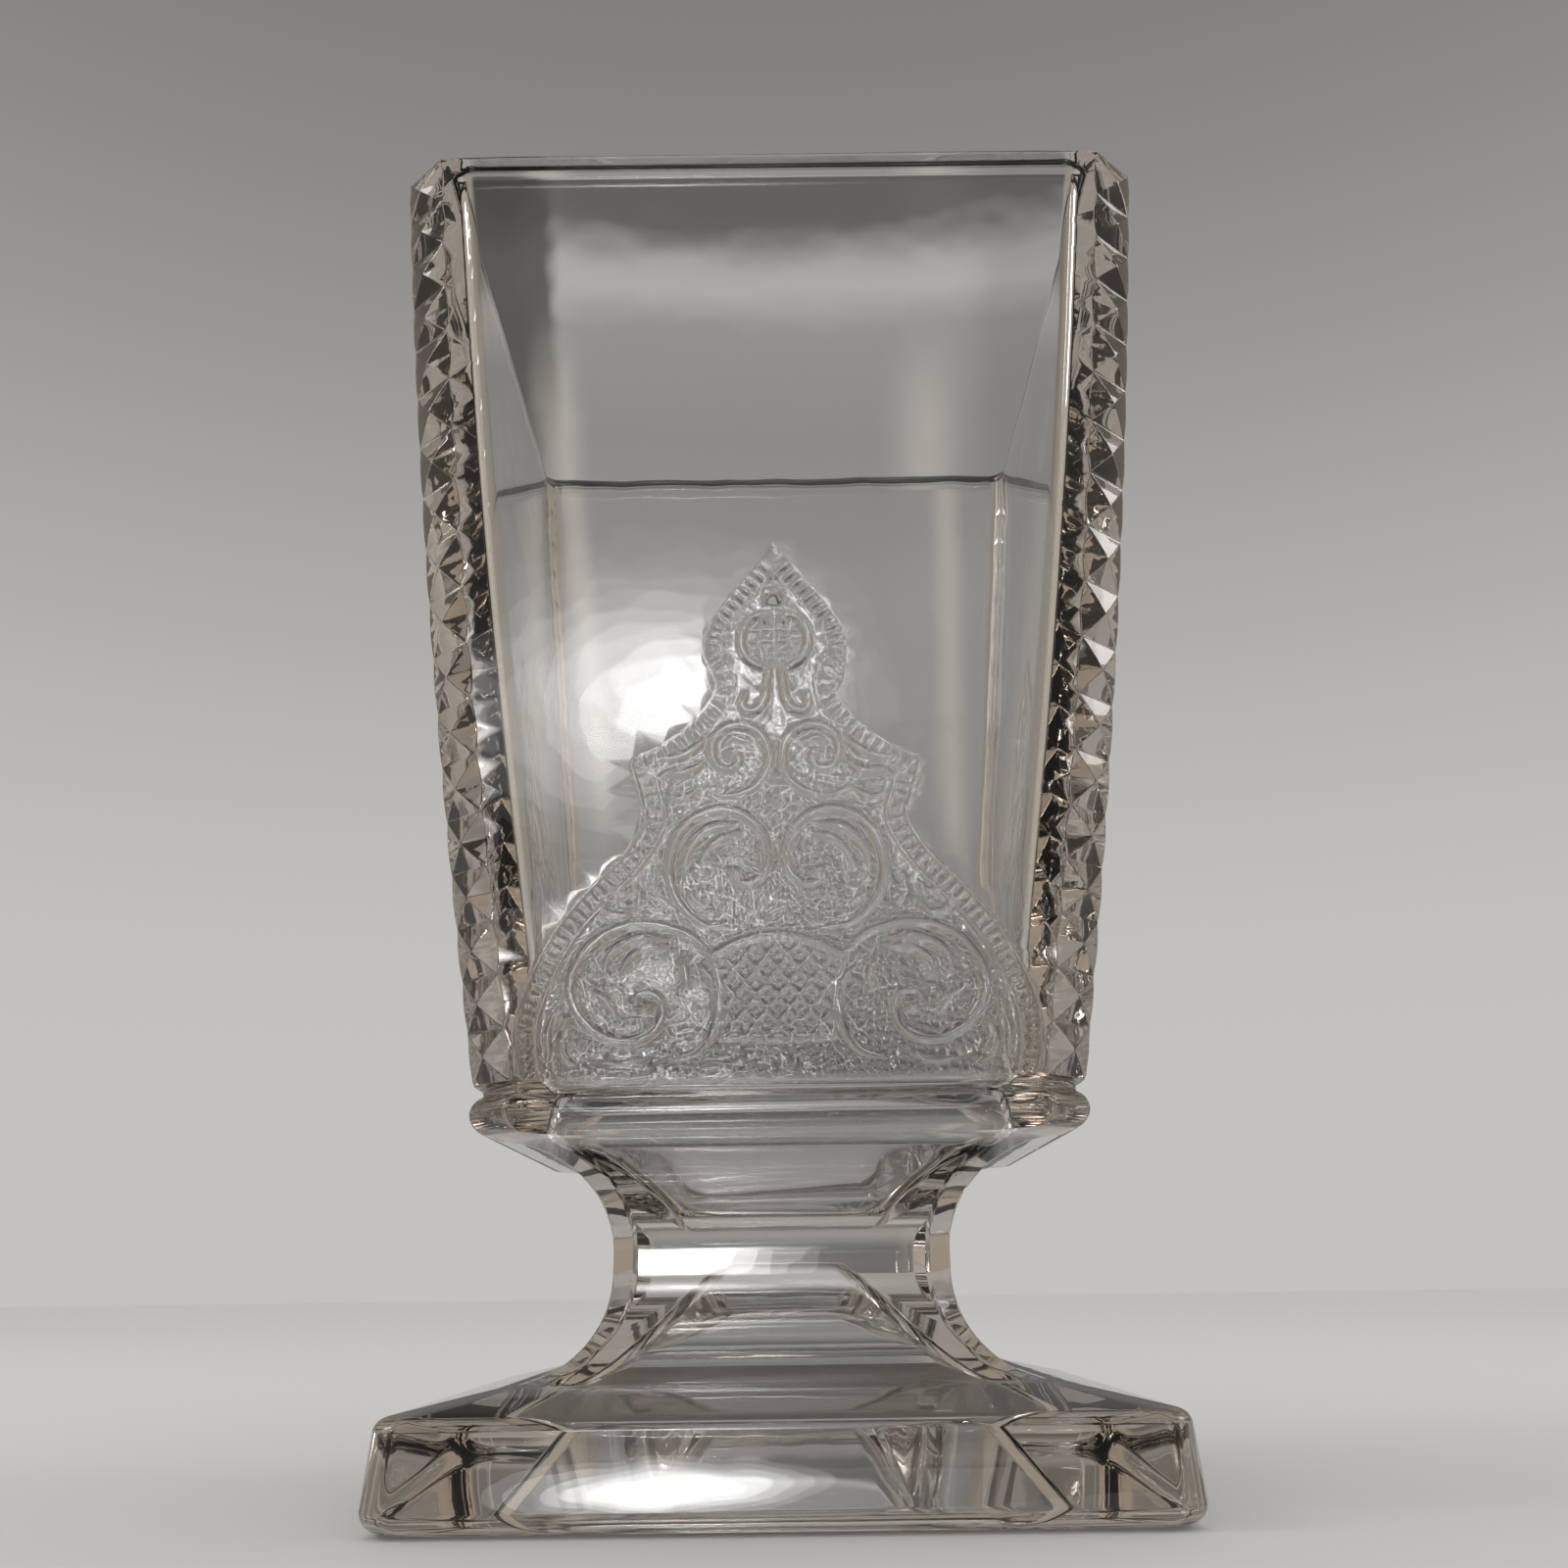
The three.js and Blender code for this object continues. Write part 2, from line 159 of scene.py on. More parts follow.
# Background at the horizon and high up, the light of the world, and the tint of greys
PALE = (0.55, 0.54, 0.525, 1)
DIM = (0.20, 0.196, 0.19, 1)
DIM_RISE = (0.12, 0.80)
WORLD_LIGHT = 0.86
WARM_GREY = (1.0, 0.985, 0.95)

# How the background looks through the glass, painted with shade and light: pairs of the view's height
# and grey level, whose dark bands are painted shadow and whose narrow bright band is painted light,
# and strips of painted light with the view's direction to the right, half width and share
SHADE_AND_LIGHT_THROUGH_GLASS = [(0.0, 0.16), (0.10, 0.18), (0.19, 0.27), (0.30, 0.36), (0.50, 0.30), (0.555, 0.33),
                 (0.575, 0.50), (0.585, 0.46), (0.602, 0.12), (0.67, 0.10), (0.72, 0.35), (1.0, 0.50)]
LIGHT_STRIPS_THROUGH_GLASS = [(-0.138, 0.022, 0.45), (0.092, 0.030, 0.35)]
LIGHT_STRIP_END = (0.50, 0.57)
# Colour of the strips of painted light, in the view through the glass and on the card
PAINTED_LIGHT_STRIP = (0.70, 0.67, 0.58, 1)
# A dark tone painted as shade in the view through the glass
PAINTED_SHADE = (0.07, 0.065, 0.06, 1)
# Two warm tones painted as shade in the view through the glass towards the sides
WARM_PAINTED_SHADE = (0.36, 0.31, 0.25, 1)
WARM_SIDE_SHADE = (0.48, 0.43, 0.37, 1)

# By the view's height: where the painted shade grows, and its shares there. By the view's direction:
# where it begins and is full to the left and right, and where the two warm tones of painted shade
# begin.
DARK_RISE = (0.42, 0.46)
DARK_SHARES = (0.2, 0.9)
DARK_LEFT = (0.132, 0.142)
DARK_RIGHT = (0.11, 0.14)
DARK_RIGHT_SHARE = 0.2
WARM_BEGIN = (0.20, 0.36)
SIDE_BEGIN = (0.60, 0.80)

# Floor in metres, with its colour and a darker colour painted as shade where it is seen through the
# glass
FLOOR_HALF = 3.0
FLOOR_LEVEL = -0.0002
FLOOR_COLOUR = (0.62, 0.61, 0.595, 1)
FLOOR_SHADE_THROUGH_GLASS = (0.44, 0.43, 0.41, 1)
FLOOR_ROUGHNESS = 0.8

# Glowing card behind the back panel: height span, gap, inset, grey levels from low to high that paint
# shade, darkest low down, and strips of painted light with lower end, upper end, half width and share
CARD_SPAN = (38.2, 134.4)
CARD_GAP = 1.6
CARD_INSET = 0.6
CARD_SHADE_LEVELS = [(0.0, 0.06), (0.07, 0.11), (0.13, 0.23), (0.27, 0.29), (0.5, 0.37), (0.8, 0.37),
               (1.0, 0.34)]
CARD_LIGHT_STRIPS = [((-23.9, 80.7), (-29.8, 124.4), 3.2, 0.55), ((24.1, 73.8), (25.6, 121.1), 3.2, 0.5)]
STRIP_FADE = 8.0

# Lamps in metres: name, place, size and then glow or power in watts
LAMP_AIM = (0, 0, 0.07)
SOFT_LAMPS = [("key", (-0.048, -0.584, 0.147), (0.21, 0.16), 0.42),
              ("low", (-0.038, -0.415, 0.021), (0.11, 0.038), 1.5)]
PLAIN_LAMPS = [("strip", (0.0, -0.42, 0.032), (0.16, 0.014), 0.0015),
               ("window", (-0.7, -0.1, 0.6), (0.3, 0.3), 1.0),
               ("fill", (0.7, 0.1, 0.5), (0.25, 0.25), 0.5)]
LAMP_RINGS = 7
RING_GAIN = 1.6
RING_GAP = 0.001
CORE_SIZE = 0.5
CORE_GAIN = 3

# Camera in metres, its lens in millimetres and its turns in degrees
CAMERA_PLACE = (0.0008, -0.17605, 0.0194)
CAMERA_LENS = 35.67
CAMERA_SENSOR = 36.0
CAMERA_CLIP = (0.005, 20)
CAMERA_PITCH = 17.94
CAMERA_ROLL = -0.7


def mix(a, b, share):
    """A value between two, or a little past them."""
    return a + (b - a) * share


def within(value, limits):
    """A value kept inside its limits."""
    return min(max(value, limits[0]), limits[1])


def bowl_half(z):
    """Half width of the bowl's outside, gently bowed from its bottom to the rim."""
    share = (z - BOWL_BOTTOM) / BOWL_HEIGHT
    return mix(BOWL_BOTTOM_HALF, RIM_HALF, share) + BOWL_BOW * 4 * share * (1 - share)


def cavity_half(z):
    """Half width of the bowl's inside."""
    share = (z - BOWL_BOTTOM) / BOWL_HEIGHT
    return bowl_half(z) - mix(BOWL_BOTTOM_WALL, RIM_WALL, share)


def arc(centre, size, start, end, steps):
    """Points of an arc in the profile's plane, with its angles in degrees."""
    turn = [math.radians(mix(start, end, i / steps)) for i in range(steps + 1)]
    return [(centre[0] + size[0] * math.cos(t), centre[1] + size[1] * math.sin(t)) for t in turn]


def bend(start, middle, end, steps):
    """Points of a quadratic curve."""
    points = []
    for i in range(steps + 1):
        t = i / steps
        place = [mix(mix(a, b, t), mix(b, c, t), t) for a, b, c in zip(start, middle, end)]
        points.append(tuple(place))
    return points


# Levels of the vase. Each row is one side and the corner that follows it, and four of them
# turned round the middle make the level.


def side_row(half, z, cut, ease, steps=4):
    """A flat side and its cut corner, whose two edges are eased with a small radius."""
    tangent = math.tan(math.radians(22.5))
    reach = min(ease * tangent, 0.999 * cut / math.sqrt(2))
    radius = reach / tangent
    flat_end = half - cut - reach
    turn = [math.radians(45 * i / steps) for i in range(steps + 1)]
    first = [(flat_end + radius * math.sin(t), radius - half - radius * math.cos(t)) for t in turn]
    second = [(-y, -x) for x, y in reversed(first)]
    return [(x, y, z) for x, y in [(-flat_end, -half), *first, *second]]


def round_row(half, z, radius):
    """A flat side and a corner that is fully round."""
    return side_row(half, z, radius * (2 - math.sqrt(2)), radius)


def hollow_rows():
    """The pyramid-shaped hollow under the foot, from its ceiling down to the mouth."""
    top_half, top = HOLLOW_TOP
    slope = (HOLLOW_MOUTH_HALF - top_half) / top
    rows = [[(0, 0, top)]]
    for inset, drop, share in CEILING:
        rows.append(round_row(top_half - inset, top - drop, HOLLOW_CORNER * share))
    for share in HOLLOW_SHARES:
        z = top * (1 - share)
        rows.append(round_row(top_half + slope * (top - z), z, HOLLOW_CORNER))
    for outward, z in MOUTH:
        rows.append(round_row(HOLLOW_MOUTH_HALF + outward, z, HOLLOW_CORNER))
    return rows


def foot_rows():
    """The slab with eased edges and the sloped top."""
    low_centre = (FOOT_HALF - FOOT_BOTTOM_ROUND, FOOT_BOTTOM_ROUND)
    low = arc(low_centre, (FOOT_BOTTOM_ROUND, FOOT_BOTTOM_ROUND), -90, 0, 5)
    high_centre = (FOOT_EDGE_HALF - FOOT_EDGE_ROUND, FOOT_EDGE_TOP - FOOT_EDGE_ROUND)
    high = arc(high_centre, (FOOT_EDGE_ROUND, FOOT_EDGE_ROUND), 5, 78, 5)
    start = FOOT_EDGE_HALF - FOOT_SLOPE_INSET
    slope = [(mix(start, FOOT_SLOPE_HALF, share), mix(FOOT_EDGE_TOP, FOOT_TOP, share))
             for share in FOOT_SLOPE_SHARES]
    return [side_row(half, z, FOOT_CUT, FOOT_EASE) for half, z in low + high + slope]


def stem_rows():
    """The spool: a cove up from the foot, the neck, and a cove out to the collar."""
    lower_size = (FOOT_SLOPE_HALF - NECK_HALF, NECK_BOTTOM - FOOT_TOP)
    lower = arc((FOOT_SLOPE_HALF, NECK_BOTTOM), lower_size, 270, 180, LOWER_COVE_STEPS)
    reach = COLLAR_UNDER_HALF - NECK_HALF
    upper_size = (reach, COLLAR_BOTTOM - NECK_TOP)
    upper = arc((COLLAR_UNDER_HALF, NECK_TOP), upper_size, 180, 90, UPPER_COVE_STEPS)
    rows = []
    for half, z in lower + upper:
        if z < NECK_BOTTOM:
            cut = mix(FOOT_CUT, NECK_CUT, (z - FOOT_TOP) / (NECK_BOTTOM - FOOT_TOP))
        else:
            cut = mix(NECK_CUT, STEM_TOP_CUT, ((half - NECK_HALF) / reach) ** 2)
        rows.append(side_row(half, z, cut, EDGE_EASE))
    return rows


def collar_rows():
    """The rounded ledge under the bowl."""
    centre = (COLLAR_HALF - COLLAR_ROUND, COLLAR_MIDDLE)
    nose = arc(centre, (COLLAR_ROUND, COLLAR_ROUND), -76, 62, 10)
    seam = [(COLLAR_TOP_HALF, 37.45), (COLLAR_TOP_HALF - 0.05, 37.7), (COLLAR_TOP_HALF + 0.25, 37.92)]
    return [side_row(half, z, CORNER_CUT, EDGE_EASE) for half, z in nose + seam]


def point_heights():
    """Levels of the pyramid points, each with how far it has risen from valley to tip."""
    span = BOWL_HEIGHT - RIM_ROUND

    def graded(share):
        """Height at a share of the column, whose points grow a little towards the middle."""
        return BOWL_BOTTOM + span * (share - POINT_GRADE * math.sin(math.tau * share) / math.tau)

    levels = []
    for i in range(POINTS):
        low, tip, high = (graded((i + part) / POINTS) for part in (0, 0.5, 1))
        for k, rise in enumerate(POINT_LEVELS):
            z = mix(low, tip, rise) if k <= POINT_LEVELS.index(1.0) else mix(high, tip, rise)
            levels.append((z, rise))
    return [*levels, (graded(1), 0.0)]


def column_row(z, rise):
    """A level of the corner column, from one panel's edge across the points to the next."""
    outer = bowl_half(z)
    edge = outer - CORNER_CUT
    swell = math.sin(math.pi / 2 * rise)
    lift = POINT_HEIGHT * (0.4 * within(rise, POINT_LIFT_RANGE) + 0.6 * swell)
    ridge = 0.5 * within(rise, POINT_RIDGE_RANGE)
    lip = edge - POINT_BULGE * swell
    seat = lip - POINT_SEAT
    low = np.array([edge, -outer])
    across = np.array([CORNER_CUT, CORNER_CUT])
    outward = np.array([1, -1]) / math.sqrt(2)
    first = low + across * (ridge - RIDGE_HALF) + outward * (lift - RIDGE_DROPS[0])
    second = low + across * (ridge + RIDGE_HALF) + outward * (lift - RIDGE_DROPS[1])
    half_row = [(seat, -outer), (lip, -outer - POINT_PROUD * swell), first, second]
    mirror = [(-y, -x) for x, y in reversed(half_row)]
    return [(x, y, z) for x, y in half_row + mirror]


# Paths of the ornament in the panel's plane: x to the right, z up. Each is a list of points with
# the half width of the raised line there. All but the middle ones come in mirrored pairs.


def smooth(points, step=CURVE_STEP):
    """A curve through a few points, at even steps."""
    points = [np.array(p, float) for p in points]
    ends = [2 * points[0] - points[1], *points, 2 * points[-1] - points[-2]]
    fine = []
    for a, b, c, d in zip(ends, ends[1:], ends[2:], ends[3:]):
        for t in np.linspace(0, 1, 24, endpoint=False):
            bent = (2 * a - 5 * b + 4 * c - d) * t ** 2
            turned = (3 * b - a - 3 * c + d) * t ** 3
            fine.append(0.5 * (2 * b + (c - a) * t + bent + turned))
    fine.append(points[-1])
    return evenly(np.array(fine), step)


def evenly(points, step):
    """The same line at even steps."""
    steps = np.linalg.norm(np.diff(points, axis=0), axis=1)
    along = np.concatenate([[0], np.cumsum(steps)])
    count = max(3, int(round(along[-1] / step)) + 1)
    at = np.linspace(0, along[-1], count)
    return np.stack([np.interp(at, along, points[:, k]) for k in range(2)], axis=1)


def stroke(points, width, start=1.0, end=1.0, belly=0.5):
    """A raised line whose half width runs from a start share over full width to an end share."""
    line = smooth(points)
    share = np.linspace(0, 1, len(line))
    rising = start + (1 - start) * np.sin(np.clip(share / belly, 0, 1) * math.pi / 2)
    falling = end + (1 - end) * np.sin(np.clip((1 - share) / (1 - belly), 0, 1) * math.pi / 2)
    return line, width * np.minimum(rising, falling)


def bead(x, z, radius):
    """A round drop."""
    share = np.linspace(-1, 1, BEAD_STEPS)
    line = np.stack([x + radius * share, np.full(BEAD_STEPS, z)], axis=1)
    return line, radius * np.sqrt(np.clip(1 - share ** 2, 0.02, 1))


# The right half of the border, from its tip down, and the heights between which its lines thin
BORDER = [(0.0, 90.4), (1.7, 88.0), (4.3, 85.0), (6.5, 81.9), (7.1, 78.9), (5.9, 76.2), (6.3, 74.2),
          (8.6, 71.6), (11.6, 69.4), (13.9, 68.2), (13.4, 65.8), (12.9, 63.8), (12.6, 62.3),
          (14.6, 59.0), (17.6, 56.0), (20.7, 52.4), (23.0, 48.4), (24.5, 44.0), (24.6, 40.8),
          (24.3, 38.5)]
BORDER_BAND = 1.9
BORDER_THINNING = (66, 71)
BORDER_WIDTHS = (0.30, 0.13)
RIB_SPACING = 1.15
RIB_INSET = 0.32
RIB_WIDTHS = (0.2, 0.27, 0.3, 0.27, 0.2)


def offset_line(line, distance):
    """A line beside another; the distance counts to the left of its direction."""
    along = np.gradient(line, axis=0)
    along /= np.linalg.norm(along, axis=1)[:, None]
    return line + distance * np.stack([-along[:, 1], along[:, 0]], axis=1)


def border_strokes():
    """The ribbed band that frames the ornament: two lines and short ribs between them."""
    outer = smooth(BORDER)
    inner = offset_line(outer, -BORDER_BAND)
    inner = evenly(inner[inner[:, 0] > 0.15], CURVE_STEP)
    strokes = []
    for line in (outer, inner):
        strokes.append((line, np.interp(line[:, 1], BORDER_THINNING, BORDER_WIDTHS)))
    near = offset_line(outer, -RIB_INSET)
    far = offset_line(outer, RIB_INSET - BORDER_BAND)
    for i in range(3, len(outer) - 2, int(RIB_SPACING / CURVE_STEP)):
        if far[i][0] > 0.3:
            rib = np.linspace(near[i], far[i], len(RIB_WIDTHS))
            strokes.append((rib, np.array(RIB_WIDTHS)))
    return strokes


def large_scroll_strokes():
    """The big scroll at each side of the cartouche, with its inner line and leaves."""
    ring = [(6.0, 49.2), (8.8, 51.5), (13.1, 52.4), (16.9, 51.1), (19.2, 48.2), (19.5, 45.8),
            (17.9, 43.0), (14.9, 41.5), (12.1, 42.1), (10.9, 44.1), (11.6, 45.8), (13.2, 45.9),
            (13.5, 44.9)]
    tail = [(9.0, 48.9), (6.7, 47.7), (5.8, 45.5), (6.0, 42.8), (7.5, 40.5), (10.0, 39.7)]
    return [
        stroke(ring, 0.62, 0.6, 0.55, 0.45),
        stroke(tail, 0.45, 0.25, 0.5, 0.6),
        stroke([(10.4, 50.9), (13.6, 50.9), (15.9, 49.4), (16.6, 47.0)], 0.75, 0.2, 0.15, 0.3),
        stroke([(10.0, 50.2), (12.9, 49.9), (14.5, 48.6), (14.9, 46.9)], 0.6, 0.2, 0.15, 0.3),
        stroke([(9.3, 49.3), (8.7, 47.4), (9.1, 45.6)], 0.5, 0.3, 0.15, 0.3),
        stroke([(17.8, 46.4), (16.2, 45.3), (14.9, 43.4)], 0.5, 0.25, 0.2, 0.4),
        bead(12.6, 44.5, 0.75),
    ]


def middle_scroll_strokes():
    """The C scroll above it, open below, with a curled end and a leaf along its back."""
    ring = [(4.4, 51.9), (7.4, 52.5), (9.7, 55.0), (10.3, 58.3), (9.2, 61.3), (6.5, 63.1), (3.5, 62.9),
            (1.4, 61.0), (0.9, 58.4), (2.0, 56.4), (3.9, 56.3), (4.3, 57.6)]
    return [
        stroke(ring, 0.6, 0.35, 0.7, 0.45),
        bead(3.9, 57.2, 0.7),
        stroke([(3.9, 61.9), (6.4, 61.4), (8.3, 59.6), (9.0, 57.4)], 0.7, 0.3, 0.15, 0.35),
        stroke([(3.4, 61.0), (5.4, 60.4), (6.9, 59.0), (7.4, 57.4)], 0.5, 0.3, 0.15, 0.35),
        stroke([(8.5, 55.8), (7.8, 54.6), (6.3, 53.9)], 0.35, 0.4, 0.3),
    ]


def upper_scroll_strokes():
    """The small scroll rings and the leafy sprays that run out to the border."""
    ring = [(7.6, 65.6), (4.8, 64.6), (1.9, 65.6), (0.6, 68.2), (1.5, 70.7), (3.9, 71.6),
            (5.9, 70.4), (6.1, 68.3), (4.8, 67.2), (3.5, 68.0), (3.8, 69.2)]
    return [
        stroke(ring, 0.55, 0.3, 0.7, 0.45),
        bead(4.1, 68.7, 0.65),
        stroke([(6.6, 70.6), (8.2, 69.0), (10.4, 68.3), (12.0, 68.4)], 0.55, 0.4, 0.3, 0.4),
        stroke([(6.9, 67.9), (8.6, 66.9), (10.5, 67.0), (11.4, 66.1)], 0.6, 0.4, 0.3, 0.4),
        stroke([(7.4, 65.4), (9.2, 64.3), (10.9, 64.9)], 0.5, 0.4, 0.3, 0.5),
        stroke([(2.5, 69.9), (4.3, 70.3), (5.0, 69.3)], 0.35, 0.4, 0.4),
        bead(8.0, 70.6, 0.5),
        bead(9.8, 65.6, 0.5),
        bead(11.6, 63.3, 0.5),
        bead(2.1, 64.0, 0.45),
    ]


def crest_strokes():
    """The hooked tails of the bell and the beads beside it."""
    tail = [(0.5, 77.6), (0.8, 75.8), (1.1, 74.0), (2.2, 72.9), (3.3, 73.5), (3.0, 74.5)]
    return [
        stroke(tail, 0.5, 0.7, 0.9, 0.6),
        stroke([(0.5, 83.0), (2.2, 82.4), (3.3, 80.5), (2.8, 78.4), (1.2, 77.3)], 0.5, 0.5, 0.8),
        bead(1.0, 82.3, 0.5),
        bead(4.6, 78.4, 0.32),
        bead(4.9, 80.0, 0.32),
        bead(4.6, 81.6, 0.32),
    ]


def side_strokes():
    """The crescent on the large scroll's shoulder and the foot of the border."""
    return [
        stroke([(16.9, 54.9), (16.2, 53.6), (14.7, 53.2), (13.6, 54.3)], 0.5, 0.3, 0.3),
        stroke([(15.6, 56.0), (14.8, 55.2), (13.6, 55.9)], 0.4, 0.3, 0.3),
        stroke([(19.4, 43.8), (20.3, 42.2), (20.2, 40.3), (19.0, 39.3)], 0.5, 0.3, 0.4),
        stroke([(21.0, 44.6), (21.7, 42.4), (21.6, 40.2), (22.4, 39.2)], 0.4, 0.3, 0.4),
        stroke([(12.0, 40.2), (14.6, 39.5), (17.4, 39.9)], 0.35, 0.2, 0.2),
    ]


LATTICE_FOOT = 41.8
LATTICE_SIDE_TOP = 49.3
LATTICE_ARCH_TOP = 51.3
LATTICE_FOOT_HALF = 5.2
LATTICE_TOP_HALF = 6.3
LATTICE_SAG = 0.25
LATTICE_PITCH = 2.05
LATTICE_SLOPE = 1.22
LATTICE_STEP = 0.3
LATTICE_FRAME_WIDTH = 0.42
LATTICE_ARCH_WIDTH = 0.6
LATTICE_BAR_WIDTH = 0.36
LATTICE_BEAD = 0.38
LATTICE_CELL = (0.5, 0.6)
LATTICE_COUNT = range(-4, 5)


def lattice_half(z):
    """Half width of the cartouche, waisted between its foot and its shoulders."""
    share = (z - LATTICE_FOOT) / (LATTICE_SIDE_TOP - LATTICE_FOOT)
    return mix(LATTICE_FOOT_HALF, LATTICE_TOP_HALF, share ** 3)


def lattice_arch(x):
    """Height of the cartouche's arched top."""
    return mix(LATTICE_ARCH_TOP, LATTICE_SIDE_TOP, (x / LATTICE_TOP_HALF) ** 2)


def in_lattice(x, z):
    """Whether a point lies inside the cartouche."""
    inside = abs(x) <= lattice_half(min(z, LATTICE_SIDE_TOP))
    return LATTICE_FOOT <= z <= lattice_arch(x) and inside


def even_stroke(points, width):
    """A raised line through given points, of one width."""
    line = evenly(np.array(points), LATTICE_STEP)
    return line, np.full(len(line), width)


def lattice_frame():
    """The cartouche's two sides, arch and foot."""
    heights = np.linspace(LATTICE_FOOT, LATTICE_SIDE_TOP, 9)
    side = np.array([(lattice_half(z), z) for z in heights])
    across = np.linspace(-LATTICE_TOP_HALF, LATTICE_TOP_HALF, 15)
    foot = [(-LATTICE_FOOT_HALF, LATTICE_FOOT), (0, LATTICE_FOOT - LATTICE_SAG),
            (LATTICE_FOOT_HALF, LATTICE_FOOT)]
    return [
        even_stroke(side, LATTICE_FRAME_WIDTH),
        even_stroke(side * [-1, 1], LATTICE_FRAME_WIDTH),
        even_stroke([(x, lattice_arch(x)) for x in across], LATTICE_ARCH_WIDTH),
        even_stroke(foot, LATTICE_FRAME_WIDTH),
    ]


def lattice_bars(middle):
    """The crossed bars."""
    strokes = []
    heights = np.linspace(LATTICE_FOOT, LATTICE_ARCH_TOP, 60)
    for i in LATTICE_COUNT:
        for lean in (-1, 1):
            bar = [(i * LATTICE_PITCH + lean * (z - middle) / LATTICE_SLOPE, z) for z in heights]
            bar = [place for place in bar if in_lattice(*place)]
            if len(bar) > 8:
                strokes.append(even_stroke(bar, LATTICE_BAR_WIDTH))
    return strokes


def lattice_beads(middle):
    """A small point in each whole cell."""
    strokes = []
    aside, above = LATTICE_CELL
    half_drop = LATTICE_PITCH * LATTICE_SLOPE / 2
    for i in LATTICE_COUNT:
        for k in LATTICE_COUNT:
            x = (i + 0.5 * (k % 2) + 0.5) * LATTICE_PITCH
            z = middle + k * half_drop
            corners = [(x - aside, z), (x + aside, z), (x, z + above), (x, z - above)]
            if all(in_lattice(*corner) for corner in corners):
                strokes.append(bead(x, z, LATTICE_BEAD))
    return strokes


def lattice_strokes():
    """The cartouche between the scrolls: arched frame, crossed bars and a small point per cell."""
    middle = (LATTICE_FOOT + LATTICE_SIDE_TOP) / 2
    return [*lattice_frame(), *lattice_bars(middle), *lattice_beads(middle)]


def middle_strokes():
    """What stands on the panel's middle line: the bell's net, and beads by height and radius."""
    net = [stroke([(-2.4, z), (0, z + 0.15), (2.4, z)], 0.22) for z in (78.7, 79.9, 81.1)]
    net += [stroke([(x, 77.9), (x * 1.15, 79.9), (x, 81.9)], 0.22) for x in (-1.2, 0, 1.2)]
    beads = [(84.7, 0.95), (86.9, 0.4), (66.3, 0.6), (64.0, 0.6), (54.6, 0.4)]
    return [*net, *(bead(0, z, radius) for z, radius in beads)]


def mirrored(strokes):
    """The same lines on the other side of the panel's middle."""
    return [(line * [-1, 1], width) for line, width in strokes]


def ornament_strokes():
    """Every raised line of one panel."""
    pairs = [*large_scroll_strokes(), *middle_scroll_strokes(), *upper_scroll_strokes(),
             *crest_strokes(), *side_strokes(), *border_strokes()]
    return [*pairs, *mirrored(pairs), *lattice_strokes(), *middle_strokes()]


def new_object(name, data):
    """An object of the data, in the scene at the origin."""
    made = bpy.data.objects.new(name, data)
    bpy.context.scene.collection.objects.link(made)
    return made


def ornament_curves(strokes):
    """The raised lines as one curve object, whose radius is their half width."""
    data = bpy.data.curves.new("ornament_lines", "CURVE")
    data.dimensions = "3D"
    for line, width in strokes:
        spline = data.splines.new("POLY")
        spline.points.add(len(line) - 1)
        flat = np.zeros((len(line), 4))
        flat[:, 0] = line[:, 0] * MM
        flat[:, 2] = line[:, 1] * MM
        flat[:, 3] = 1
        spline.points.foreach_set("co", flat.ravel())
        spline.points.foreach_set("radius", width * MM)
    return new_object("ornament_lines", data)


def inside_border(points):
    """Which points lie inside the band that frames the ornament."""
    right = smooth(BORDER, 2 * CURVE_STEP)
    foot = right[-1, 0]
    base = [[foot, BOWL_BOTTOM], [-foot, BOWL_BOTTOM]]
    outline = np.concatenate([right, base, right[::-1] * [-1, 1]])
    x, z = points[:, 0:1], points[:, 1:2]
    ax, az = outline[:, 0], outline[:, 1]
    bx, bz = np.roll(ax, -1), np.roll(az, -1)
    crosses = ((az > z) != (bz > z)) & (x < (bx - ax) * (z - az) / (bz - az + 1e-12) + ax)
    return crosses.sum(axis=1) % 2 == 1


def points_along(line, width):
    """Rows of points that follow a raised line on its crest, flanks and edges."""
    line_at = evenly(line, PATH_STEP)
    half = np.interp(np.linspace(0, 1, len(line_at)), np.linspace(0, 1, len(line)), width)
    along = np.gradient(line_at, axis=0)
    along /= np.linalg.norm(along, axis=1)[:, None] + 1e-12
    side = np.stack([-along[:, 1], along[:, 0]], axis=1)
    return [line_at + side * (half * share)[:, None] for share in LINE_ROWS]


def grid_points(step, high):
    """An even grid over the panel up to a height."""
    xs = np.arange(-RIM_HALF, RIM_HALF, step)
    zs = np.arange(BOWL_BOTTOM + step / 2, high, step)
    return np.stack(np.meshgrid(xs, zs), axis=-1).reshape(-1, 2)


def spaced(points):
    """The points without those that come too close to an earlier one."""
    kept = []
    taken = {}
    for index, (x, z) in enumerate(points):
        column = int(math.floor(x / LEAST_SPACING))
        row = int(math.floor(z / LEAST_SPACING))
        around = [(column + i, row + k) for i in (-1, 0, 1) for k in (-1, 0, 1)]
        near = [points[taken[cell]] for cell in around if cell in taken]
        if all((px - x) ** 2 + (pz - z) ** 2 > LEAST_SPACING ** 2 for px, pz in near):
            taken[(column, row)] = index
            kept.append(index)
    return points[kept]


def panel_points(strokes, edge_at):
    """Points of a panel: rows along each raised line, a fine ground inside the border and a plain
    grid elsewhere, none closer together than the least spacing."""
    wanted = []
    for line, width in strokes:
        wanted.extend(points_along(line, width))
    ground = grid_points(GROUND_STEP, BORDER[0][1] + 1)
    wanted.append(ground[inside_border(ground)])
    wanted.append(grid_points(PLAIN_STEP, RIM))
    points = np.concatenate(wanted)
    x, z = points[:, 0], points[:, 1]
    inside = np.abs(x) < edge_at(z) - PANEL_MARGIN
    above = z > BOWL_BOTTOM + PANEL_FOOT_MARGIN
    below = z < RIM - RIM_ROUND - PANEL_TOP_MARGIN
    return spaced(points[inside & above & below])


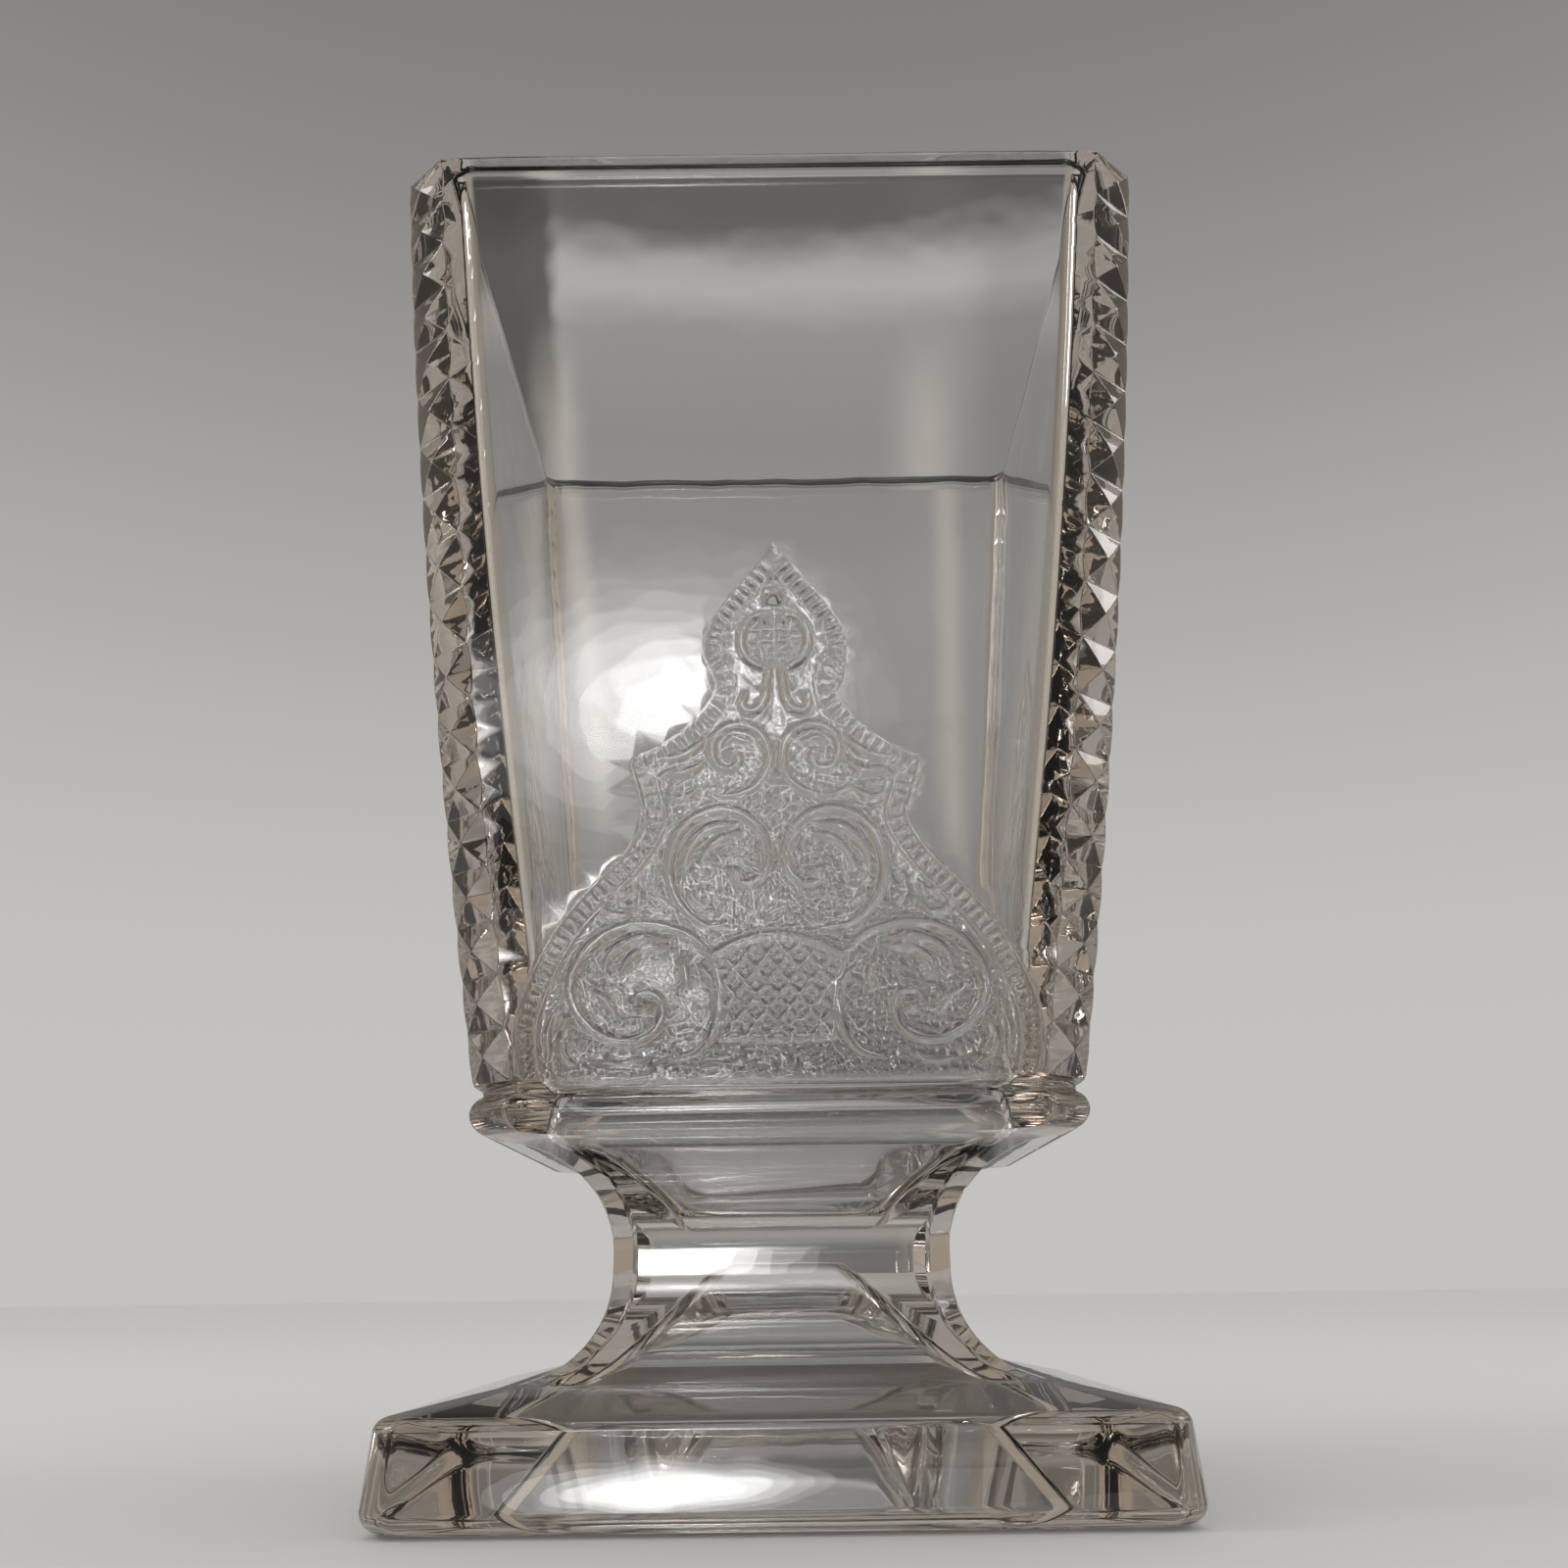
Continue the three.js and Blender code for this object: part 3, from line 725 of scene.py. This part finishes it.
class QuarterMesh:
    """Vertices and faces of a quarter of the vase, built row by row."""

    def __init__(self):
        self.points = []
        self.faces = []

    def add_row(self, row):
        """Adds a row's points and returns their numbers."""
        first = len(self.points)
        self.points.extend(row)
        return list(range(first, first + len(row)))

    def share_along(self, row):
        """How far along its row each point lies, from 0 to 1."""
        ends = np.array([self.points[i] for i in row])
        steps = np.linalg.norm(np.diff(ends, axis=0), axis=1)
        along = np.concatenate([[0], np.cumsum(steps)])
        return along / max(along[-1], 1e-9)

    def join(self, low, high):
        """Faces between two rows, which may differ in their count."""
        if len(low) == len(high):
            for i in range(len(low) - 1):
                self.faces.append((low[i], low[i + 1], high[i + 1], high[i]))
            return
        at_low, at_high = self.share_along(low), self.share_along(high)
        i = k = 0
        while i < len(low) - 1 or k < len(high) - 1:
            step_low = at_low[i + 1] if i < len(low) - 1 else 2
            step_high = at_high[k + 1] if k < len(high) - 1 else 2
            if step_low <= step_high:
                self.faces.append((low[i], low[i + 1], high[k]))
                i += 1
            else:
                self.faces.append((low[i], high[k + 1], high[k]))
                k += 1

    def stack(self, rows, below=None):
        """Adds rows one on another and returns the last."""
        for row in rows:
            here = self.add_row(row)
            if below is not None:
                self.join(below, here)
            below = here
        return below


def add_panel(quarter, left_edge, right_edge, strokes):
    """The front panel between its two edges, with points that follow the raised lines. Returns its
    bottom row, its top row and the numbers of the points inside."""
    edges = np.array([quarter.points[i] for i in right_edge])

    def edge_at(z):
        """Half width of the panel at a height."""
        return np.interp(z, edges[:, 2], edges[:, 0])

    def level(z, count):
        """Points between the two edges at a height."""
        half = edge_at(z)
        return [(x, -bowl_half(z), z) for x in np.linspace(-half, half, count + 1)[1:-1]]

    bottom = quarter.add_row(level(edges[0, 2], PANEL_BOTTOM_STEPS))
    top = quarter.add_row(level(edges[-1, 2], PANEL_TOP_STEPS))
    rim = [left_edge[0], *bottom, *right_edge, *top[::-1], *left_edge[:0:-1]]
    inner = panel_points(strokes, edge_at)
    first = len(quarter.points)
    quarter.points.extend((x, -bowl_half(z), z) for x, z in inner)
    numbers = [*rim, *range(first, first + len(inner))]
    flat = [Vector((quarter.points[i][0], quarter.points[i][2])) for i in numbers]
    loop = list(range(len(rim)))
    found = delaunay_2d_cdt(flat, [], [loop], 1, 1e-5)
    where = {i: numbers[sources[0]] for i, sources in enumerate(found[3]) if sources}
    for face in found[2]:
        a, b, c = (where[i] for i in face)
        pa, pb, pc = (quarter.points[i] for i in (a, b, c))
        turn = (pb[0] - pa[0]) * (pc[2] - pa[2]) - (pb[2] - pa[2]) * (pc[0] - pa[0])
        quarter.faces.append((a, b, c) if turn > 0 else (a, c, b))
    bottom_row = [left_edge[0], *bottom, right_edge[0]]
    top_row = [left_edge[-1], *top, right_edge[-1]]
    return bottom_row, top_row, range(first, first + len(inner))


def rim_row(row, shrink, z, quarter):
    """The bowl's top row drawn in and raised, with its corners drawn in further."""
    moved = []
    for i in row:
        x, y, _ = quarter.points[i]
        half = -y if abs(x) < -y else x
        at_corner = min(abs(x), abs(y)) > half - CORNER_CUT - 0.6
        scale = (half - shrink * (RIM_CORNER_GAIN if at_corner else 1)) / half
        moved.append((x * scale, y * scale, z))
    return moved


def add_rim(quarter, crown):
    """Rounds the rim over from the bowl's top row and returns its highest row."""
    below = crown
    for degrees in RIM_TURNS:
        turn = math.radians(degrees)
        shrink = RIM_ROUND * (1 - math.cos(turn))
        z = RIM - RIM_ROUND * (1 - math.sin(turn))
        here = quarter.add_row(rim_row(crown, shrink, z, quarter))
        quarter.join(below, here)
        below = here
    return below


def inner_rows():
    """The inside of the bowl and the well, from the rim down to the floor."""
    inner_rim = cavity_half(RIM)
    rows = [round_row(inner_rim + RIM_ROUND, RIM, CAVITY_CORNER + 1.0)]
    for degrees in RIM_TURNS:
        turn = math.radians(degrees)
        half = inner_rim + RIM_ROUND * (1 - math.sin(turn))
        z = RIM - RIM_ROUND * (1 - math.cos(turn))
        rows.append(round_row(half, z, CAVITY_CORNER + 1 - math.sin(turn)))
    for z in np.linspace(RIM - RIM_ROUND, BOWL_BOTTOM, CAVITY_LEVELS)[1:]:
        rows.append(round_row(cavity_half(z), z, CAVITY_CORNER))
    well = [*WELL_LIP, *bend(WELL_SHOULDER, WELL_BEND, WELL_START, 10)]
    rows.extend(round_row(half, z, CAVITY_CORNER) for half, z in well)
    floor_half, floor = WELL_FLOOR
    rows.append(round_row(floor_half + 0.3, floor + 0.25, CAVITY_CORNER))
    rows.append(round_row(floor_half - 0.6, floor, CAVITY_CORNER * 0.8))
    rows.append([(0, 0, floor)])
    return rows


def build_quarter(strokes):
    """A quarter of the glass: one side and the corner after it, inside and out."""
    quarter = QuarterMesh()
    below = quarter.stack([*hollow_rows(), *foot_rows(), *stem_rows(), *collar_rows()])
    column = [quarter.add_row(column_row(z, rise)) for z, rise in point_heights()]
    for low, high in zip(column, column[1:]):
        quarter.join(low, high)
    right_edge = [row[0] for row in column]
    next_edge = [quarter.points[row[-1]] for row in column]
    left_edge = quarter.add_row([(y, -x, z) for x, y, z in next_edge])
    bottom, top, ornament = add_panel(quarter, left_edge, right_edge, strokes)
    quarter.join(below, [*bottom, *column[0][1:]])
    highest = add_rim(quarter, [*top, *column[-1][1:]])
    quarter.stack(inner_rows(), highest)
    return quarter, ornament


def quarter_object(quarter, ornament):
    """The quarter as an object, with its ornament's points and its stippled ground marked."""
    points = np.array(quarter.points, float)
    data = bpy.data.meshes.new("vase_quarter")
    data.from_pydata((points * MM).tolist(), [], quarter.faces)
    relief = np.zeros(len(points), np.float32)
    relief[list(ornament)] = 1
    ground = np.zeros(len(points), np.float32)
    here = np.array(list(ornament))
    ground[here] = inside_border(points[here][:, [0, 2]])
    for name, values in (("relief", relief), ("ground", ground)):
        data.attributes.new(name, "FLOAT", "POINT").data.foreach_set("value", values)
    return new_object("vase_quarter", data)


class Tree:
    """Adds nodes to a node tree and sets or links their inputs by name."""

    def __init__(self, tree):
        self.tree = tree

    def node(self, kind, settings=None, **sockets):
        """A new node with its settings and inputs."""
        node = self.tree.nodes.new(kind)
        for name, value in (settings or {}).items():
            setattr(node, name, value)
        self.feed(node, **sockets)
        return node

    def feed(self, node, **sockets):
        """Sets or links inputs of a node."""
        for name, value in sockets.items():
            socket = self.socket_of(node, name)
            if isinstance(value, bpy.types.NodeSocket):
                self.tree.links.new(value, socket)
            elif isinstance(value, Value):
                self.tree.links.new(value.socket, socket)
            else:
                socket.default_value = value

    @staticmethod
    def socket_of(node, name):
        """An input by its name, or by its place where the name is in and a number."""
        if name.startswith("in") and name[2:].isdigit():
            return node.inputs[int(name[2:])]
        wanted = name.replace("_", " ").lower()
        enabled = [s for s in node.inputs if s.enabled and s.name.lower() == wanted]
        if not enabled:
            raise KeyError(f"{node.bl_idname} has no input {name}")
        return enabled[0]


class Value:
    """A number of a node tree that can be used in an expression."""

    def __init__(self, tree, socket):
        self.tree = tree
        self.socket = socket

    def math(self, operation, other=None, swapped=False):
        """A maths node on this value and another."""
        first, second = (other, self) if swapped else (self, other)
        sockets = {"in0": first}
        if second is not None:
            sockets["in1"] = second
        node = self.tree.node("ShaderNodeMath", {"operation": operation}, **sockets)
        return Value(self.tree, node.outputs[0])

    def __add__(self, other):
        return self.math("ADD", other)

    def __sub__(self, other):
        return self.math("SUBTRACT", other)

    def __rsub__(self, other):
        return self.math("SUBTRACT", other, True)

    def __mul__(self, other):
        return self.math("MULTIPLY", other)


def smooth_rise(tree, value, low, high, start=0.0, end=1.0):
    """Goes smoothly from start to end while the value goes from low to high."""
    node = tree.node("ShaderNodeMapRange", {"interpolation_type": "SMOOTHSTEP"}, Value=value,
                     From_Min=low, From_Max=high, To_Min=start, To_Max=end)
    return Value(tree, node.outputs[0])


def blend(tree, share, under, over):
    """One colour laid over another by a share."""
    node = tree.node("ShaderNodeMix", {"data_type": "RGBA"}, Factor=share, A=under, B=over)
    return node.outputs[2]


def grey_ramp(tree, value, levels):
    """A faintly warm grey whose level follows the value through pairs of place and level."""
    ramp = tree.node("ShaderNodeValToRGB", Fac=value)
    stops = ramp.color_ramp.elements
    for place, _ in levels[1:-1]:
        stops.new(place)
    for stop, (place, level) in zip(stops, levels):
        stop.position = place
        stop.color = (*(level * part for part in WARM_GREY), 1)
    return ramp.outputs[0]


def named_value(tree, name):
    """A number that the mesh carries at each point."""
    node = tree.node("GeometryNodeInputNamedAttribute", {"data_type": "FLOAT"}, Name=name)
    return Value(tree, node.outputs[0])


def line_tubes(tree, lines):
    """The ornament's lines as tubes of their own width."""
    curves = tree.node("GeometryNodeObjectInfo", Object=lines).outputs["Geometry"]
    ring = tree.node("GeometryNodeCurvePrimitiveCircle", Resolution=16, Radius=1.0)
    width = tree.node("GeometryNodeInputRadius").outputs[0]
    tubes = tree.node("GeometryNodeCurveToMesh", Curve=curves, Profile_Curve=ring.outputs["Curve"],
                      Scale=width, Fill_Caps=True)
    return tubes.outputs["Mesh"]


def raised_quarter(tree, given):
    """One quarter with its ornament raised to the stretched tubes that a ray from the front meets,
    and stippled where it meets none."""
    squash = tree.node("ShaderNodeCombineXYZ", X=1.0, Y=given["Relief Squash"], Z=1.0)
    tubes = tree.node("GeometryNodeTransform", Geometry=line_tubes(tree, given["Ornament Lines"]),
                      Scale=squash.outputs[0])
    place = tree.node("GeometryNodeInputPosition")
    parts = tree.node("ShaderNodeSeparateXYZ", Vector=place.outputs[0]).outputs
    start = tree.node("ShaderNodeCombineXYZ", X=parts["X"], Y=-RAY_REACH, Z=parts["Z"])
    ray = tree.node("GeometryNodeRaycast", Target_Geometry=tubes.outputs["Geometry"],
                    Source_Position=start.outputs[0], Ray_Direction=(0, 1, 0), Ray_Length=RAY_REACH)
    met = tree.node("ShaderNodeSeparateXYZ", Vector=ray.outputs["Hit Position"])
    hit = Value(tree, ray.outputs["Is Hit"])
    lift = Value(tree, met.outputs["Y"]) * hit * named_value(tree, "relief")
    offset = tree.node("ShaderNodeCombineXYZ", Y=lift)
    raised = tree.node("GeometryNodeSetPosition", Geometry=given["Quarter"], Offset=offset.outputs[0])
    fade = smooth_rise(tree, parts["Z"], *STIPPLE_FADE, 1.0, STIPPLE_ABOVE)
    stipple = named_value(tree, "ground") * (1 - hit) * fade
    stored = tree.node("GeometryNodeStoreNamedAttribute", {"data_type": "FLOAT", "domain": "POINT"},
                       Geometry=raised.outputs[0], Name="stipple", Value=stipple)
    return stored.outputs[0]


def turned_round(tree, quarter, given):
    """The quarter set round the middle once for each side, and welded."""
    spots = tree.node("GeometryNodePoints", Count=given["Sides"])
    index = Value(tree, tree.node("GeometryNodeInputIndex").outputs[0])
    turn = tree.node("ShaderNodeCombineXYZ", Z=index * (math.tau / SIDES))
    copies = tree.node("GeometryNodeInstanceOnPoints", Points=spots.outputs[0], Instance=quarter,
                       Rotation=turn.outputs[0])
    whole = tree.node("GeometryNodeRealizeInstances", Geometry=copies.outputs[0])
    welded = tree.node("GeometryNodeMergeByDistance", Geometry=whole.outputs[0],
                       Distance=given["Weld Distance"])
    return welded.outputs[0]


def pressed_vase_nodes():
    """Raises the ornament's lines on one quarter, then turns it four times round the middle."""
    group = bpy.data.node_groups.new("pressed_vase", "GeometryNodeTree")
    face = group.interface
    face.new_socket("Geometry", in_out="OUTPUT", socket_type="NodeSocketGeometry")
    given_sockets = {"Quarter": "Geometry", "Ornament Lines": "Object", "Relief Squash": "Float",
                     "Sides": "Int", "Weld Distance": "Float", "Glass": "Material"}
    for name, kind in given_sockets.items():
        face.new_socket(name, in_out="INPUT", socket_type=f"NodeSocket{kind}")
    tree = Tree(group)
    given = tree.node("NodeGroupInput").outputs
    whole = turned_round(tree, raised_quarter(tree, given), given)
    glazed = tree.node("GeometryNodeSetMaterial", Geometry=whole, Material=given["Glass"])
    tree.node("NodeGroupOutput", Geometry=glazed.outputs[0])
    return group


def set_inputs(modifier, **values):
    """Sets a geometry modifier's named inputs by their sockets' identifiers."""
    for item in modifier.node_group.interface.items_tree:
        name = item.name.replace(" ", "_").lower()
        if item.item_type == "SOCKET" and item.in_out == "INPUT" and name in values:
            modifier[item.identifier] = values[name]


def flat_sided_normals(data):
    """Smooth shading in which large faces stay flat and the small ones between them turn."""
    count = len(data.vertices)
    points = np.empty(count * 3)
    data.vertices.foreach_get("co", points)
    points = points.reshape(-1, 3)
    normals = np.zeros((count, 3))
    data.calc_loop_triangles()
    triangles = np.empty(len(data.loop_triangles) * 3, np.int32)
    data.loop_triangles.foreach_get("vertices", triangles)
    triangles = triangles.reshape(-1, 3)
    a, b, c = (points[triangles[:, k]] for k in range(3))
    area = np.cross(b - a, c - a)
    for k in range(3):
        np.add.at(normals, triangles[:, k], area)
    normals /= np.linalg.norm(normals, axis=1)[:, None] + 1e-30
    data.polygons.foreach_set("use_smooth", [True] * len(data.polygons))
    data.normals_split_custom_set_from_vertices(normals.tolist())


def new_material(name):
    """A material with nodes, its tree and its nodes by name."""
    material = bpy.data.materials.new(name)
    material.use_nodes = True
    return material, Tree(material.node_tree), material.node_tree.nodes


def glass_material():
    """Clear pressed glass: faintly warm in thick places, stippled inside the ornament."""
    material, tree, nodes = new_material("pressed_glass")
    place = tree.node("ShaderNodeTexCoord").outputs["Object"]
    stipple = tree.node("ShaderNodeAttribute", {"attribute_name": "stipple"})
    ground = Value(tree, stipple.outputs["Fac"])
    dots = tree.node("ShaderNodeTexVoronoi", {"feature": "SMOOTH_F1"}, Vector=place,
                     Scale=DOT_SCALE, Smoothness=DOT_SMOOTHNESS)
    noise = tree.node("ShaderNodeTexNoise", Vector=place, Scale=WAVE_SCALE, Detail=2.0)
    fine = Value(tree, dots.outputs["Distance"]) * ground
    tone = GLASS_TONE - ground * GROUND_TONE - fine * DOT_TONE
    rough = ground * GROUND_ROUGHNESS + GLASS_ROUGHNESS
    height = fine * DOT_HEIGHT + Value(tree, noise.outputs[0]) * WAVE_HEIGHT
    bump = tree.node("ShaderNodeBump", Strength=1.0, Distance=1.0, Height=height)
    tree.feed(nodes["Principled BSDF"], Transmission_Weight=1.0, IOR=GLASS_IOR,
              Coat_Weight=COAT_WEIGHT, Coat_Roughness=COAT_ROUGHNESS, Base_Color=tone,
              Roughness=rough, Normal=bump.outputs[0])
    tint = tree.node("ShaderNodeVolumeAbsorption", Color=TINT, Density=TINT_DENSITY)
    tree.feed(nodes["Material Output"], Volume=tint.outputs[0])
    return material


def build_vase():
    """The whole vase as one closed piece of glass."""
    strokes = ornament_strokes()
    lines = ornament_curves(strokes)
    quarter, ornament = build_quarter(strokes)
    blank = quarter_object(quarter, ornament)
    modifier = blank.modifiers.new("pressed", "NODES")
    modifier.node_group = pressed_vase_nodes()
    set_inputs(modifier, ornament_lines=lines, relief_squash=RELIEF_SQUASH, sides=SIDES,
               weld_distance=WELD_DISTANCE, glass=glass_material())
    evaluated = blank.evaluated_get(bpy.context.evaluated_depsgraph_get())
    data = bpy.data.meshes.new_from_object(evaluated)
    data.name = "glass_vase"
    vase = new_object("glass_vase", data)
    bpy.data.objects.remove(blank)
    bpy.data.objects.remove(lines)
    flat_sided_normals(data)
    return vase


def add_lamp(name, place, size, power):
    """An oval lamp that looks at the middle of the vase."""
    lamp = bpy.data.lights.new(name, "AREA")
    lamp.shape = "ELLIPSE"
    lamp.size, lamp.size_y = size
    lamp.energy = power
    holder = new_object(name, lamp)
    look = (Vector(LAMP_AIM) - Vector(place)).to_track_quat("-Z", "Y").to_matrix().to_4x4()
    holder.matrix_world = Matrix.Translation(place) @ look
    holder.visible_camera = False


def add_soft_lamp(name, place, size, glow):
    """A lamp that fades towards its edge: discs one before another, each brighter than the last,
    with a small bright core in front."""
    x, y, z = place
    for i in range(LAMP_RINGS):
        core = i == LAMP_RINGS - 1
        share = (1 - i / LAMP_RINGS) * (CORE_SIZE if core else 1)
        width, height = size[0] * share, size[1] * share
        radiance = glow * RING_GAIN ** i * (CORE_GAIN if core else 1)
        power = radiance * math.pi * math.pi * width * height / 4
        add_lamp(f"{name}_{i}", (x, y + RING_GAP * i, z), (width, height), power)


def build_lamps():
    """Two soft lamps behind the camera that the glass mirrors, and weak ones around."""
    for lamp in SOFT_LAMPS:
        add_soft_lamp(*lamp)
    for lamp in PLAIN_LAMPS:
        add_lamp(*lamp)


def add_stage(name, corners, paint):
    """A flat stage piece from its corners in order."""
    data = bpy.data.meshes.new(name)
    data.from_pydata(corners, [], [(0, 1, 2, 3)])
    data.materials.append(paint)
    piece = new_object(name, data)


def build_floor():
    """A plain pale floor, with painted shade that makes it darker where it is seen through the glass.
    """
    paint, tree, nodes = new_material("pale_floor")
    # Painted shade: a darker floor for rays that come through the glass
    through = tree.node("ShaderNodeLightPath").outputs["Is Transmission Ray"]
    colour = blend(tree, through, FLOOR_COLOUR, FLOOR_SHADE_THROUGH_GLASS)
    tree.feed(nodes["Principled BSDF"], Roughness=FLOOR_ROUGHNESS, Base_Color=colour)
    turns = ((-1, -1), (1, -1), (1, 1), (-1, 1))
    corners = [(x * FLOOR_HALF, y * FLOOR_HALF, FLOOR_LEVEL) for x, y in turns]
    add_stage("floor", corners, paint)


def seen_through_glass(tree, way):
    """Painted shade and light that the world shows through the glass, by the direction of the view:
    grey levels of painted shadow and light that follow its height, two strips of painted light,
    painted shade to the left and a little to the right, and warm painted shade to the sides."""
    parts = tree.node("ShaderNodeSeparateXYZ", Vector=way).outputs
    across, height = Value(tree, parts["X"]), Value(tree, parts["Z"])
    colour = grey_ramp(tree, height, SHADE_AND_LIGHT_THROUGH_GLASS)
    # Painted shade high up to the left and a little to the right
    upper = smooth_rise(tree, height, *DARK_RISE, *DARK_SHARES)
    left = smooth_rise(tree, across * -1, *DARK_LEFT) * upper
    colour = blend(tree, left, colour, PAINTED_SHADE)
    right = smooth_rise(tree, across, *DARK_RIGHT, 0.0, DARK_RIGHT_SHARE)
    colour = blend(tree, right, colour, PAINTED_SHADE)
    # Two strips of painted light that fade out higher up
    fading = smooth_rise(tree, height, *LIGHT_STRIP_END, 1.0, 0.0)
    for place, half, share in LIGHT_STRIPS_THROUGH_GLASS:
        aside = (across - place).math("ABSOLUTE")
        near = smooth_rise(tree, aside, 0.0, half, share, 0.0) * fading
        colour = blend(tree, near, colour, PAINTED_LIGHT_STRIP)
    # Warm painted shade towards the sides
    sideways = across.math("ABSOLUTE")
    colour = blend(tree, smooth_rise(tree, sideways, *WARM_BEGIN), colour, WARM_PAINTED_SHADE)
    return blend(tree, smooth_rise(tree, sideways, *SIDE_BEGIN), colour, WARM_SIDE_SHADE)


def build_world():
    """Even light all round. What is seen of it is a pale background that darkens high overhead,
    and through the glass a view painted with shade and light."""
    world = bpy.data.worlds.new("studio")
    world.use_nodes = True
    bpy.context.scene.world = world
    tree = Tree(world.node_tree)
    rays = tree.node("ShaderNodeLightPath").outputs
    glossy = Value(tree, rays["Is Glossy Ray"])
    inside = Value(tree, rays["Ray Depth"]).math("GREATER_THAN", 1.5) * glossy
    through = Value(tree, rays["Is Transmission Ray"]).math("MAXIMUM", inside)
    seen = Value(tree, rays["Is Camera Ray"]).math("MAXIMUM", glossy).math("MAXIMUM", through)
    way = tree.node("ShaderNodeTexCoord").outputs["Generated"]
    height = tree.node("ShaderNodeSeparateXYZ", Vector=way).outputs["Z"]
    open_view = blend(tree, smooth_rise(tree, height, *DIM_RISE), PALE, DIM)
    # Rays through the glass and rays mirrored inside it see painted shade and light instead of the
    # open view
    colour = blend(tree, through, open_view, seen_through_glass(tree, way))
    back = tree.node("ShaderNodeBackground", Color=colour, Strength=1.0)
    light = world.node_tree.nodes["Background"]
    tree.feed(light, Color=(1, 1, 1, 1), Strength=WORLD_LIGHT)
    both = tree.node("ShaderNodeMixShader", in0=seen, in1=light.outputs[0], in2=back.outputs[0])
    tree.feed(world.node_tree.nodes["World Output"], Surface=both.outputs[0])


def card_painted_shade_and_light(tree):
    """Painted shade as grey levels up the card, darkest low down, with two slanted strips of painted
    light.
    """
    place = tree.node("ShaderNodeTexCoord").outputs["Object"]
    parts = tree.node("ShaderNodeSeparateXYZ", Vector=place).outputs
    across, up = Value(tree, parts["X"]), Value(tree, parts["Z"])
    low, high = CARD_SPAN
    colour = grey_ramp(tree, (up - low * MM) * (1 / ((high - low) * MM)), CARD_SHADE_LEVELS)
    # Slanted strips of painted light
    for (x0, z0), (x1, z1), half, share in CARD_LIGHT_STRIPS:
        slope = (x1 - x0) / (z1 - z0)
        aside = (across - (up - z0 * MM) * slope - x0 * MM).math("ABSOLUTE")
        start = smooth_rise(tree, up, (z0 - STRIP_FADE) * MM, (z0 + STRIP_FADE) * MM)
        near = smooth_rise(tree, aside, 0.0, half * MM, share, 0.0) * start
        colour = blend(tree, near, colour, PAINTED_LIGHT_STRIP)
    return colour


def build_painted_light_card():
    """A pale card close behind the back panel, where the table lies behind the real vase, that glows
    with painted shadow low down and strips of painted light. Only rays that have come through the
    glass see it."""
    paint, tree, nodes = new_material("card")
    paint.cycles.emission_sampling = "NONE"
    nodes.remove(nodes["Principled BSDF"])
    # The card glows with its painted shade and light, though it is no lamp
    glow = tree.node("ShaderNodeEmission", Color=card_painted_shade_and_light(tree), Strength=1.0).outputs[0]
    clear = tree.node("ShaderNodeBsdfTransparent").outputs[0]
    through = tree.node("ShaderNodeLightPath").outputs["Is Transmission Ray"]
    both = tree.node("ShaderNodeMixShader", in0=through, in1=clear, in2=glow)
    tree.feed(nodes["Material Output"], Surface=both.outputs[0])
    corners = []
    for z, sides in zip(CARD_SPAN, ((-1, 1), (1, -1))):
        half = bowl_half(z) - CORNER_CUT - CARD_INSET
        behind = bowl_half(z) + CARD_GAP
        corners += [(side * half * MM, behind * MM, z * MM) for side in sides]
    add_stage("card", corners, paint)


def build_camera():
    """A low camera close in front of the foot, tilted up at the vase."""
    camera = bpy.data.cameras.new("camera")
    camera.lens = CAMERA_LENS
    camera.sensor_width = CAMERA_SENSOR
    camera.clip_start, camera.clip_end = CAMERA_CLIP
    holder = new_object("camera", camera)
    pitch = Matrix.Rotation(math.pi / 2 + math.radians(CAMERA_PITCH), 4, "X")
    roll = Matrix.Rotation(math.radians(CAMERA_ROLL), 4, "Z")
    holder.matrix_world = Matrix.Translation(CAMERA_PLACE) @ pitch @ roll
    bpy.context.scene.camera = holder


vase = build_vase()
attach(vase, "root")
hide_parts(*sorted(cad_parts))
build_floor()
build_world()
build_painted_light_card()
build_lamps()
build_camera()
bpy.context.scene.view_settings.view_transform = "Standard"
